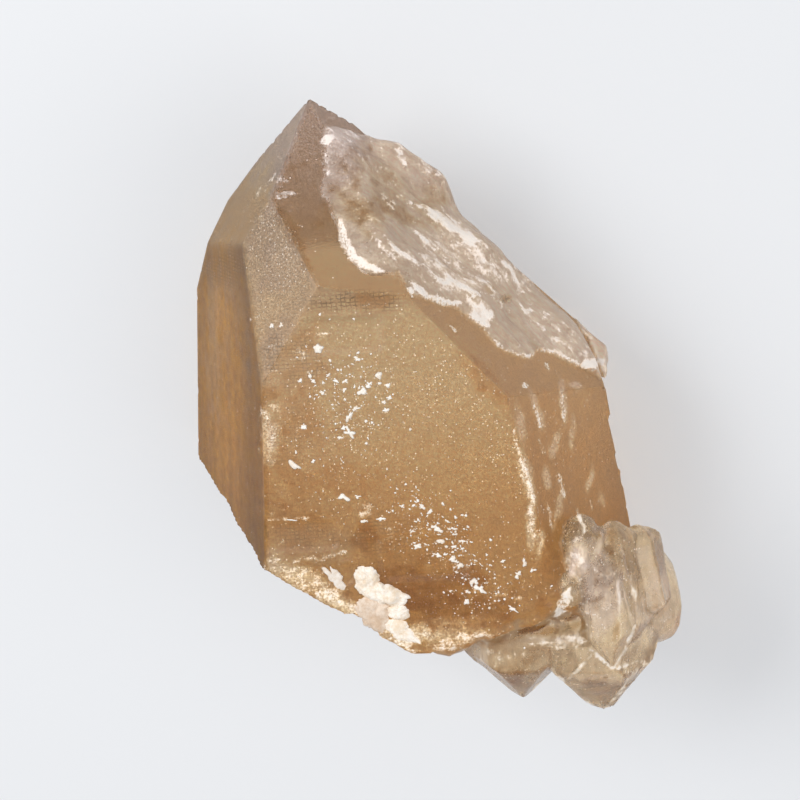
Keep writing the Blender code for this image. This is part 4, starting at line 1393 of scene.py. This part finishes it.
        dark, light, soft, grey = (
            painted(places) for places in (DARK_PLACES, LIGHT_PLACES, SOFT_PLACES, GREY_PLACES)
        )
        bands = left * fractal(points, self.band_cell, Seed.BANDS)
        for mark, weight in ((SOFT_MARK, soft), (DARK_MARK, dark), (GREY_MARK, grey), (LIGHT_MARK, light),
                             (UNEVEN_MARK, rag), (BAND_MARK, bands)):
            haze += mark.haze * weight
            depth += mark.depth * weight
            shade *= 1.0 + mark.shade * weight

        # Brightness: less towards the foot and at the tip, by layers of smoke in the left prism, and painted
        # shade, brighter on mounds and darker in hollows of the rough growth.
        tip = smoothstep(*self.tip_range, height)
        mound = np.clip(standing(self.mound_rounds), -self.mound_most, self.mound_most)
        foot = smoothstep(*self.foot_range, height) * (1.0 - zones.bunch)
        shade *= self.whole_shade - self.foot_shade * foot
        shade *= 1.0 - self.tip_shade * tip
        shade *= 1.0 - left * np.interp(-z, *SMOKE_LAYERS.T)
        shade *= 1.0 - self.left_top_shade * left * smoothstep(*self.left_top_range, height)
        shade *= 1.0 + shared("mound_painted_shade") * mound
        haze += light * shared("bright_haze")
        haze = haze * (1.0 + self.rag_haze * rag) + self.tip_haze * tip

        # Milk: painted veils, a ragged cover where the camera doesn't see, and painted highlights on convex
        # rims and mounds.
        veil_and_highlight = np.maximum(painted(VEIL_PATCHES), painted(VEIL_AND_HIGHLIGHT_STROKES))
        unseen = (1.0 - seen) * (self.unseen_milk + self.unseen_growth_milk * zones.grown)
        rim = np.clip(standing(1) / self.voxel, 0.0, self.rim_most)
        convex_highlight = shared("rim_highlight_milk") * (self.rim_highlight * rim + self.mound_highlight * mound)
        milk_and_highlight = np.maximum(veil_and_highlight, unseen * smoothstep(*self.unseen_rag, rag)) + convex_highlight
        milk_and_highlight *= 1.0 - self.veil_dark_loss * dark

        hatch = painted(HATCHED_PLACES)
        # Painted sparkle: where bright glint dots are painted into the colour.
        painted_sparkle = self.sparkle_all + self.sparkle_seen * seen + self.sparkle_place * painted(PAINTED_SPARKLE_PLACES)
        painted_sparkle *= 1.0 - self.end_sparkle_loss * zones.faces[:, END_OVER_FRONT]
        painted_sparkle *= 1.0 - self.left_sparkle_loss * left
        smoke = self.left_smoke * left + self.steep_smoke * zones.faces[:, STEEP_RIGHT]
        smoke = np.maximum(dark * (1.0 - self.growth_smoke_loss * zones.grown), smoke)
        banding += self.growth_banding * np.maximum(zones.grown, zones.bunch) + self.hatch_banding * hatch
        for name, values, least, most in (
                ("frost", frost + self.veil_frost * veil_and_highlight + self.rag_frost * rag, 0.05, 0.85),
                ("haze", haze, 0.0, 0.8),
                ("milk_and_highlight", milk_and_highlight, 0.0, 1.0),
                ("depth", depth, 0.0, 1.0),
                ("shade", shade, 0.25, 1.3),
                ("painted_sparkle", painted_sparkle, 0.0, 1.0),
                ("hatch", hatch, 0.0, 1.0),
                ("murk", smoke, 0.0, 1.0),
                ("lumpy", shared("lumps"), 0.0, 1.0),
                ("banding", banding, 0.0, 1.0)):
            write_values(mesh, name, np.clip(values, least, most))
        write_values(mesh, "lay", self.strata(points, zones))


# ---- Grains, flake and crust -----------------------------------------------------------------

@dataclass(frozen=True)
class Speck:
    """A small oval thing seen from the camera: its place in the camera's plane and its size."""

    right: float
    up: float
    half_length: float
    half_width: float
    turn: float


@dataclass(frozen=True)
class Swarm:
    """Many small specks scattered round a middle, more of them small than large."""

    right: float
    up: float
    spread_along: float
    spread_aside: float
    turn: float
    count: int
    smallest: float
    largest: float

    def scatter(self, seed: int) -> tuple[Speck, ...]:
        """Draw the specks.

        Args:
            seed: Chooses the places.

        Returns:
            The specks.
        """
        rng = np.random.default_rng(seed)
        turn = math.radians(self.turn)
        along = rng.normal(0.0, self.spread_along, self.count)
        aside = rng.normal(0.0, self.spread_aside, self.count)
        size = self.smallest + (self.largest - self.smallest) * rng.uniform(0.0, 1.0, self.count) ** 3
        shape = rng.uniform(0.4, 1.0, self.count)
        turns = rng.uniform(0.0, 180.0, self.count)
        right = self.right + along * math.cos(turn) - aside * math.sin(turn)
        up = self.up + along * math.sin(turn) + aside * math.cos(turn)
        return each_of(Speck, *np.column_stack((right, up, size, size * shape, turns)))


@dataclass
class Lenses:
    """Small irregular lens shapes laid on the crystal's surface.

    Each is a disc of rings. Its outline is a circle whose radius varies by a few cosines of the
    angle, stretched to its length and width, and its height over the surface is a dome,
    1 - radius squared, made uneven by the same cosines.
    """

    name: str
    specks: tuple[Speck, ...]
    thickness: float            # dome height as a share of the half width
    ragged: float               # how far the outline leaves the circle
    segments: int
    rings: int
    seed: int
    least_facing: float = 0.25  # cosine to the sight below which nothing is laid on the surface
    rim_range: tuple[float, float] = (0.35, 1.7)

    def build(self, crystal: bpy.types.Object) -> bpy.types.Object:
        """Build the lenses as one mesh on the crystal.

        Args:
            crystal: The finished crystal, which they lie on.

        Returns:
            The object.
        """
        rng = np.random.default_rng(self.seed)
        tree = BVHTree.FromObject(crystal, bpy.context.evaluated_depsgraph_get())
        places = np.array([(s.right, s.up) for s in self.specks])
        start, aims = SIGHT.rays(places)
        eye = Vector((start + HUB) * MM)
        hits = [tree.ray_cast(eye, Vector(aim)) for aim in aims]
        kept = [k for k, hit in enumerate(hits)
                if hit[0] is not None and -hit[1].dot(Vector(aims[k])) > self.least_facing]
        middles = np.array([hits[k][0] for k in kept]) / MM - HUB
        outward = np.array([hits[k][1] for k in kept])
        size = np.array([(self.specks[k].half_length, self.specks[k].half_width) for k in kept])
        turn = np.radians([self.specks[k].turn for k in kept])

        axes = SIGHT.axes()
        along = np.cos(turn)[:, None] * axes[0] + np.sin(turn)[:, None] * axes[1]
        along -= (along * outward).sum(axis=1, keepdims=True) * outward
        along /= np.linalg.norm(along, axis=1, keepdims=True)
        aside = np.cross(outward, along)

        angle = np.arange(self.segments) * math.tau / self.segments
        waves_in = np.arange(2, 6)
        height = rng.normal(0.0, self.ragged, (len(kept), len(waves_in))) / np.sqrt(waves_in / 2.0)
        phase = rng.uniform(0.0, math.tau, height.shape)
        rim = 1.0 + (height[:, None, :] * np.cos(waves_in * angle[:, None] + phase[:, None, :])).sum(axis=2)
        rim = np.clip(rim, *self.rim_range)
        radii = np.arange(self.rings, 0, -1) / self.rings
        x = radii[None, :, None] * (rim * np.cos(angle))[:, None, :] * size[:, :1, None]
        y = radii[None, :, None] * (rim * np.sin(angle))[:, None, :] * size[:, 1:, None]
        dome = (1.0 - radii ** 2)[None, :, None] * (0.7 + 0.5 * rim)[:, None, :]
        z = self.thickness * size[:, 1:, None] * dome

        rows = middles[:, None, None, :] + x[..., None] * along[:, None, None, :]
        rows = rows + y[..., None] * aside[:, None, None, :] + z[..., None] * outward[:, None, None, :]
        top = middles + self.thickness * size[:, 1:] * outward
        foot = middles - 0.5 * self.thickness * size[:, 1:] * outward
        points = np.concatenate((rows.reshape(len(kept), -1, 3), top[:, None], foot[:, None]), axis=1)

        faces = lens_faces(self.rings, self.segments)
        step = points.shape[1]
        every = (faces[None] + step * np.arange(len(kept))[:, None, None]).reshape(-1, 3)
        return mesh_object(self.name, points.reshape(-1, 3), every)


def lens_faces(rings: int, segments: int) -> np.ndarray:
    """Return the triangles of a closed lens.

    Its vertices are rings from the rim inwards, then the top and the foot.

    Args:
        rings: How many rings it has.
        segments: How many vertices a ring has.

    Returns:
        Three vertex numbers to a row.
    """
    here = np.arange(segments)
    after = (here + 1) % segments
    top, foot = rings * segments, rings * segments + 1
    parts = [np.column_stack((np.full(segments, foot), after, here))]
    for ring in range(rings - 1):
        low, high = ring * segments, (ring + 1) * segments
        parts.append(np.column_stack((low + here, low + after, high + after)))
        parts.append(np.column_stack((low + here, high + after, high + here)))
    last = (rings - 1) * segments
    parts.append(np.column_stack((last + here, last + after, np.full(segments, top))))
    return np.concatenate(parts)


class CrustFinish(IntEnum):
    """Which of the crust's materials a lump of it has."""

    CREAM = 0
    ROSY = 1


@dataclass(frozen=True)
class Lobe:
    """A lump of crust on the front face: its outline and its height, in millimetres."""

    outline: tuple[tuple[float, float], ...]
    height: float
    finish: CrustFinish = CrustFinish.CREAM
    unevenness: float = 0.16        # of the outline, as a share of its radius
    uneven_size: float = 0.55
    lump_size: float = 1.5
    rim_depth: float = 0.12         # how far the rim lies under the face
    foot_depth: float = 0.35

    def surface(self, seed: int, rings: int, segments: int) -> tuple[np.ndarray, np.ndarray]:
        """Work out the lobe as rings from its outline to its middle.

        The radius follows the outline by angle, with a finer unevenness. The height rises
        steeply from the rim, as 1 - radius to the fourth power, with lumps of noise on it.

        Args:
            seed: Chooses the unevenness.
            rings: How many rings it has.
            segments: How many vertices a ring has.

        Returns:
            Points and triangles.
        """
        corners = np.array(self.outline)
        middle = 0.5 * (corners.min(axis=0) + corners.max(axis=0))
        arms = corners - middle
        bearing = np.arctan2(arms[:, 1], arms[:, 0])
        order = np.argsort(bearing)
        angle = np.arange(segments) * math.tau / segments - math.pi
        reach = np.interp(angle, bearing[order], np.hypot(*arms.T)[order], period=math.tau)
        ring_points = np.column_stack((np.cos(angle), np.sin(angle), np.zeros(segments)))
        reach *= 1.0 + self.unevenness * fractal(ring_points * reach[:, None], self.uneven_size, seed)
        radii = (np.arange(rings, 0, -1) / rings) ** 0.8
        x = middle[0] + radii[:, None] * reach * np.cos(angle)
        y = middle[1] + radii[:, None] * reach * np.sin(angle)
        flat = np.column_stack((x.ravel(), y.ravel(), np.zeros(x.size)))
        lumps = fractal(flat, self.lump_size, seed + 1, 4).reshape(x.shape)
        dome = 1.0 - radii[:, None] ** 4
        z = -self.rim_depth + self.height * dome * (0.85 + 0.55 * lumps)
        centre_height = z[-1].mean()
        rows = np.column_stack((x.ravel(), y.ravel(), z.ravel()))
        ends = np.array(((*middle, centre_height), (*middle, -self.foot_depth)))
        return np.concatenate((rows, ends)), lens_faces(rings, segments)


CRUST_LOBES = (
    Lobe(((-11.1, -33.2), (-11.0, -31.3), (-9.9, -30.5), (-8.9, -30.9), (-7.9, -30.8), (-6.8, -31.8),
          (-6.7, -34.0), (-7.9, -35.6), (-9.6, -36.0), (-10.9, -35.7)), 1.25),
    Lobe(((-10.9, -34.8), (-9.9, -36.0), (-9.0, -36.9), (-7.4, -37.5), (-5.6, -38.1), (-3.4, -38.7),
          (-1.6, -37.9), (-0.7, -36.9), (-2.1, -36.0), (-3.9, -35.0), (-5.7, -34.2), (-7.1, -33.6),
          (-8.9, -33.8)), 1.2),
    Lobe(((-11.4, -37.3), (-9.4, -36.5), (-6.7, -37.2), (-5.2, -38.3), (-5.4, -40.5), (-5.8, -42.9),
          (-7.1, -43.7), (-8.9, -42.8), (-10.6, -40.7), (-11.5, -39.0)), 0.8, CrustFinish.ROSY),
    Lobe(((-5.7, -38.7), (-4.7, -38.2), (-3.4, -38.4), (-1.3, -39.6), (-1.6, -40.7), (-3.4, -41.2),
          (-5.0, -40.7)), 0.85),
    Lobe(((-6.7, -41.3), (-4.8, -40.8), (-2.5, -41.3), (-1.6, -42.7), (-0.6, -44.0), (0.2, -45.9),
          (-1.4, -45.5), (-3.2, -45.2), (-5.0, -43.8), (-6.2, -43.0)), 0.6),
)
FLAKE = Lobe(((-17.0, -30.5), (-15.7, -30.2), (-15.1, -31.0), (-15.3, -31.8), (-14.1, -31.6), (-13.3, -32.5),
              (-13.6, -33.3), (-12.7, -34.7), (-13.0, -35.4), (-14.1, -35.1), (-15.2, -33.6), (-16.2, -32.2),
              (-17.0, -31.5)), 0.42)

GRAINS = each_of(
    Speck,
    (-14.7, 9.2, 0.90, 0.90, 10), (-7.7, 7.4, 0.63, 0.36, -30), (-3.8, 4.4, 0.54, 0.81, 0),
    (-6.8, 1.5, 0.99, 0.58, 30), (-5.6, 2.7, 0.54, 0.54, 0), (-9.2, -3.1, 0.54, 0.72, 0),
    (-9.0, -5.9, 1.08, 0.65, -40), (-10.1, -5.0, 0.54, 0.36, 40), (-10.8, -6.8, 0.54, 0.27, 20),
    (-19.1, -11.7, 1.26, 0.58, -35), (-15.6, -11.0, 0.45, 0.25, 50), (-10.1, -17.5, 0.90, 0.61, 0),
    (-7.6, -17.4, 0.54, 0.27, 10), (-2.2, 2.6, 0.45, 0.41, 0), (-1.9, 0.4, 0.47, 0.36, 30),
    (-2.9, -0.4, 0.45, 0.32, 0), (-2.5, -1.8, 0.54, 0.41, 0), (-7.9, -1.5, 0.72, 0.29, 30),
    (-15.6, 3.4, 0.54, 0.32, -30), (-14.0, 1.3, 0.54, 0.32, -30), (-16.2, 4.3, 0.45, 0.36, 0),
    (-11.5, 3.4, 0.54, 0.27, -20), (-9.9, 3.4, 0.54, 0.27, 50), (-10.0, 1.8, 0.54, 0.25, 60),
    (-23.1, 13.3, 0.36, 0.43, 0), (-21.4, 13.5, 0.54, 0.32, 65), (-14.4, 15.4, 0.27, 0.23, 0),
    (-17.3, -4.9, 0.61, 0.43, 0), (-19.4, -21.6, 0.90, 0.22, 3), (-23.0, 13.5, 0.36, 0.27, 0),
    (-18.0, 3.4, 0.40, 0.25, 0), (-12.9, 4.5, 0.47, 0.22, 20), (-18.7, -9.4, 0.29, 0.22, 0),
    (0.4, -19.1, 0.40, 0.32, 0), (4.0, -19.2, 0.72, 0.32, -45), (5.4, -20.1, 0.54, 0.36, 20),
    (7.0, -23.4, 0.83, 0.40, -10), (6.1, -22.8, 0.54, 0.36, 20), (7.3, -25.4, 0.72, 0.47, 10),
    (11.2, -25.4, 0.47, 0.36, 0), (9.7, -26.4, 0.54, 0.29, 40), (6.8, -27.9, 0.72, 0.36, -20),
    (9.5, -28.6, 0.47, 0.61, 0), (10.8, -29.8, 0.61, 0.50, 0), (13.1, -32.7, 0.47, 0.65, -20),
    (12.0, -36.3, 0.47, 0.61, 0), (3.2, -26.3, 0.79, 0.47, 20), (-3.4, -21.4, 0.72, 0.34, 10),
    (-6.5, -21.8, 0.54, 0.36, 20), (14.4, -34.0, 1.08, 0.61, -40), (13.5, -32.6, 0.54, 0.54, 0),
    (21.2, -31.4, 0.65, 0.54, 0), (22.4, -29.3, 0.43, 0.68, 0), (23.9, -30.6, 0.43, 0.36, 0),
    (9.3, -28.7, 0.43, 0.36, 0), (20.3, -37.6, 0.90, 0.32, -30), (18.5, -29.0, 0.47, 0.25, 30),
    (12.2, -34.5, 0.43, 0.36, 0), (2.2, -23.6, 0.47, 0.22, 5), (8.5, -21.8, 0.43, 0.25, -30),
    (9.9, -23.2, 0.40, 0.25, 10),
)
GRAIN_SWARMS = each_of(
    Swarm,
    (-9.5, 2.0, 4.6, 5.2, 0.0, 260, 0.06, 0.34),
    (-11.0, -7.0, 5.0, 6.0, 0.0, 130, 0.05, 0.20),
    (9.5, -27.0, 7.0, 2.8, -46.0, 330, 0.06, 0.38),
    (3.0, -21.0, 4.6, 2.4, -40.0, 110, 0.06, 0.28),
    (16.0, -33.0, 4.4, 4.0, 0.0, 110, 0.06, 0.30),
    (2.0, -8.0, 12.0, 16.0, 0.0, 260, 0.04, 0.12),
)


@dataclass(frozen=True)
class WhiteMineral:
    """A dull white mineral, such as kaolin or calcite, in grains that light barely enters.

    It is matt and finely grained, with a slightly warmer tone in its hollows.
    """

    name: str
    light: str
    warm: str
    roughness: float = 0.85
    grain_mm: float = 0.45
    bump: float = 0.5
    clear: float = 0.0          # share of light that passes, for a thin or translucent piece
    ior: float = 1.5
    bump_mm: float = 0.3
    tone_range: tuple[float, float] = (0.14, 0.32)      # noise at which it is warm, and is light
    cloud_share: float = 0.2    # a grain's width as a share of the width of its clouds

    def build(self) -> bpy.types.Material:
        """Build the material.

        Returns:
            The material.
        """
        material, add = new_material(self.name)
        place = add("TexCoord").outputs["Object"]
        scale = 1.0 / (self.grain_mm * MM)
        grain = add("TexNoise", {"Vector": place, "Scale": scale, "Detail": 5.0, "Roughness": 0.7})
        cloud = add("TexNoise", {"Vector": place, "Scale": self.cloud_share * scale, "Detail": 3.0})
        tone = add("ValToRGB", (add("Math", (grain, cloud), **MULTIPLY),))
        set_ramp(tone.color_ramp, tuple(zip(self.tone_range, (self.warm, self.light))))
        bump = add("Bump", {"Strength": self.bump, "Distance": self.bump_mm * MM, "Height": grain})
        surface = add("BsdfPrincipled", {"Base Color": tone, "Roughness": self.roughness, "IOR": self.ior,
                                         "Transmission Weight": self.clear, "Normal": bump})
        add("OutputMaterial", {"Surface": surface})
        return material


CREAM_CRUST = WhiteMineral("clay mineral crust, cream", "#fff6ea", "#ecd6ba")
ROSY_CRUST = WhiteMineral("clay mineral crust, thin and rosy", "#f2dfcb", "#d9bb9d", 0.7, 0.6, 0.35, 0.1)
WHITE_GRAIN = WhiteMineral("kaolin grains, white", "#fffaf2", "#f0e0cc", 0.8, 0.3)
PALE_FLAKE = WhiteMineral("mica flake, pale and thin", "#fbf1e6", "#e2cdb6", 0.4, 0.8, 0.3, 0.12)


@dataclass
class MineralCrust:
    """The cream crust on the front face: lumps side by side, with grooves between them."""

    rings: int = 16
    segments: int = 96

    def build(self) -> bpy.types.Object:
        """Build the crust's lobes as one mesh, in two finishes.

        Returns:
            The crust.
        """
        points, faces, finish = [], [], []
        start = 0
        for number, lobe in enumerate(CRUST_LOBES):
            lobe_points, lobe_faces = lobe.surface(Seed.LOBES + 5 * number, self.rings, self.segments)
            points.append(lobe_points)
            faces.append(lobe_faces + start)
            finish.append(np.full(len(lobe_faces), lobe.finish, np.int32))
            start += len(lobe_points)
        made = mesh_object("crust", np.concatenate(points), np.concatenate(faces))
        made.data.materials.append(CREAM_CRUST.build())
        made.data.materials.append(ROSY_CRUST.build())
        made.data.polygons.foreach_set("material_index", np.concatenate(finish))
        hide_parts("mineral_crust")
        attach(made, "root")
        return made


@dataclass
class Dusting:
    """What lies on the front face in small bits: grains, dust and a flake."""

    flake_rings: int = 12
    flake_segments: int = 72

    def build(self, crystal: bpy.types.Object) -> list[bpy.types.Object]:
        """Build the grains, the dust and the flake.

        Args:
            crystal: The finished crystal.

        Returns:
            The pieces.
        """
        scattered = tuple(speck for number, swarm in enumerate(GRAIN_SWARMS)
                          for speck in swarm.scatter(Seed.SWARMS + number))
        grains = Lenses("white_grains", GRAINS, thickness=0.35, ragged=0.3, segments=18, rings=4,
                        seed=Seed.GRAINS).build(crystal)
        dust = Lenses("white_dust", scattered, thickness=0.4, ragged=0.16, segments=8, rings=2,
                      seed=Seed.DUST).build(crystal)
        white = WHITE_GRAIN.build()
        grains.data.materials.append(white)
        dust.data.materials.append(white)
        flake = mesh_object("flake", *FLAKE.surface(Seed.FLAKE, self.flake_rings, self.flake_segments))
        flake.data.materials.append(PALE_FLAKE.build())
        pieces = [grains, dust, flake]
        for piece in pieces:
            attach(piece, "root")
        return pieces


# ---- The floor and the light -----------------------------------------------------------------

@dataclass(frozen=True)
class Lamp:
    """A square soft lamp that faces the hub."""

    name: str
    place: tuple[float, float, float]   # in the crystal's frame
    size: float                         # its side
    watts: float

    def build(self) -> None:
        """Make the lamp."""
        data = bpy.data.lights.new(self.name, "AREA")
        data.size = self.size * MM
        data.energy = self.watts
        facing = Vector(self.place).to_track_quat("Z", "Y").to_matrix().to_4x4()
        lamp = bpy.data.objects.new(self.name, data)
        lamp.matrix_world = Matrix.Translation(Vector((np.array(self.place) + HUB) * MM)) @ facing
        bpy.context.scene.collection.objects.link(lamp)


@dataclass(frozen=True)
class Studio:
    """A plain pale floor, an even pale surround and large soft lamps."""

    floor_size: float = 4000.0
    floor_gap: float = 0.3          # between the crystal's back face and the floor
    floor_colour: str = "#babbbc"
    floor_roughness: float = 0.9
    floor_glow: float = 0.36        # a lit board, so that light comes up through the stone
    surround: str = "#eceef2"
    surround_strength: float = 0.60
    lamps: tuple[Lamp, ...] = (
        Lamp("key lamp", (-420.0, 260.0, 520.0), 420.0, 3.4),
        Lamp("fill lamp", (480.0, -120.0, 420.0), 500.0, 1.5),
    )

    def build(self) -> None:
        """Build the floor, the surround and the lamps."""
        half = self.floor_size / 2.0
        corners = np.array([(x, y, -THICKNESS - self.floor_gap) for x, y in
                            ((-half, -half), (half, -half), (half, half), (-half, half))])
        floor = mesh_object("floor", corners, np.array([[0, 1, 2, 3]]), smooth=False)
        material, add = new_material("floor, matt painted board")
        board = add("BsdfPrincipled", {
            "Base Color": linear(self.floor_colour),
            "Roughness": self.floor_roughness,
            "Emission Color": linear(self.surround),
            "Emission Strength": self.floor_glow,
        })
        add("OutputMaterial", {"Surface": board})
        floor.data.materials.append(material)
        floor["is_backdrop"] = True

        world = bpy.data.worlds.new("surround")
        world.use_nodes = True
        backdrop = world.node_tree.nodes["Background"]
        backdrop.inputs["Color"].default_value = linear(self.surround)
        backdrop.inputs["Strength"].default_value = self.surround_strength
        bpy.context.scene.world = world
        for lamp in self.lamps:
            lamp.build()


def write_sizes() -> None:
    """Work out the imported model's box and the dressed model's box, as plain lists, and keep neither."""
    def plain(box: object) -> object:
        """Return a box as nested lists of numbers."""
        return [plain(part) for part in box] if hasattr(box, "__len__") else float(box)

    {"cad": plain(CAD_BOX), "visual": plain(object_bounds())}


def main() -> None:
    """Build every piece in order and report it."""
    logging.basicConfig(level=logging.INFO, format="%(name)s: %(message)s")
    bpy.context.scene.view_settings.view_transform = "Standard"
    SIGHT.place_camera()
    crystal = CrystalPoint().build()
    pieces = [crystal, MineralCrust().build(), *Dusting().build(crystal)]
    Studio().build()
    for piece in pieces:
        log.info("%s: %d faces", piece.name, len(piece.data.polygons))
    write_sizes()


if __name__ == "__main__":
    main()
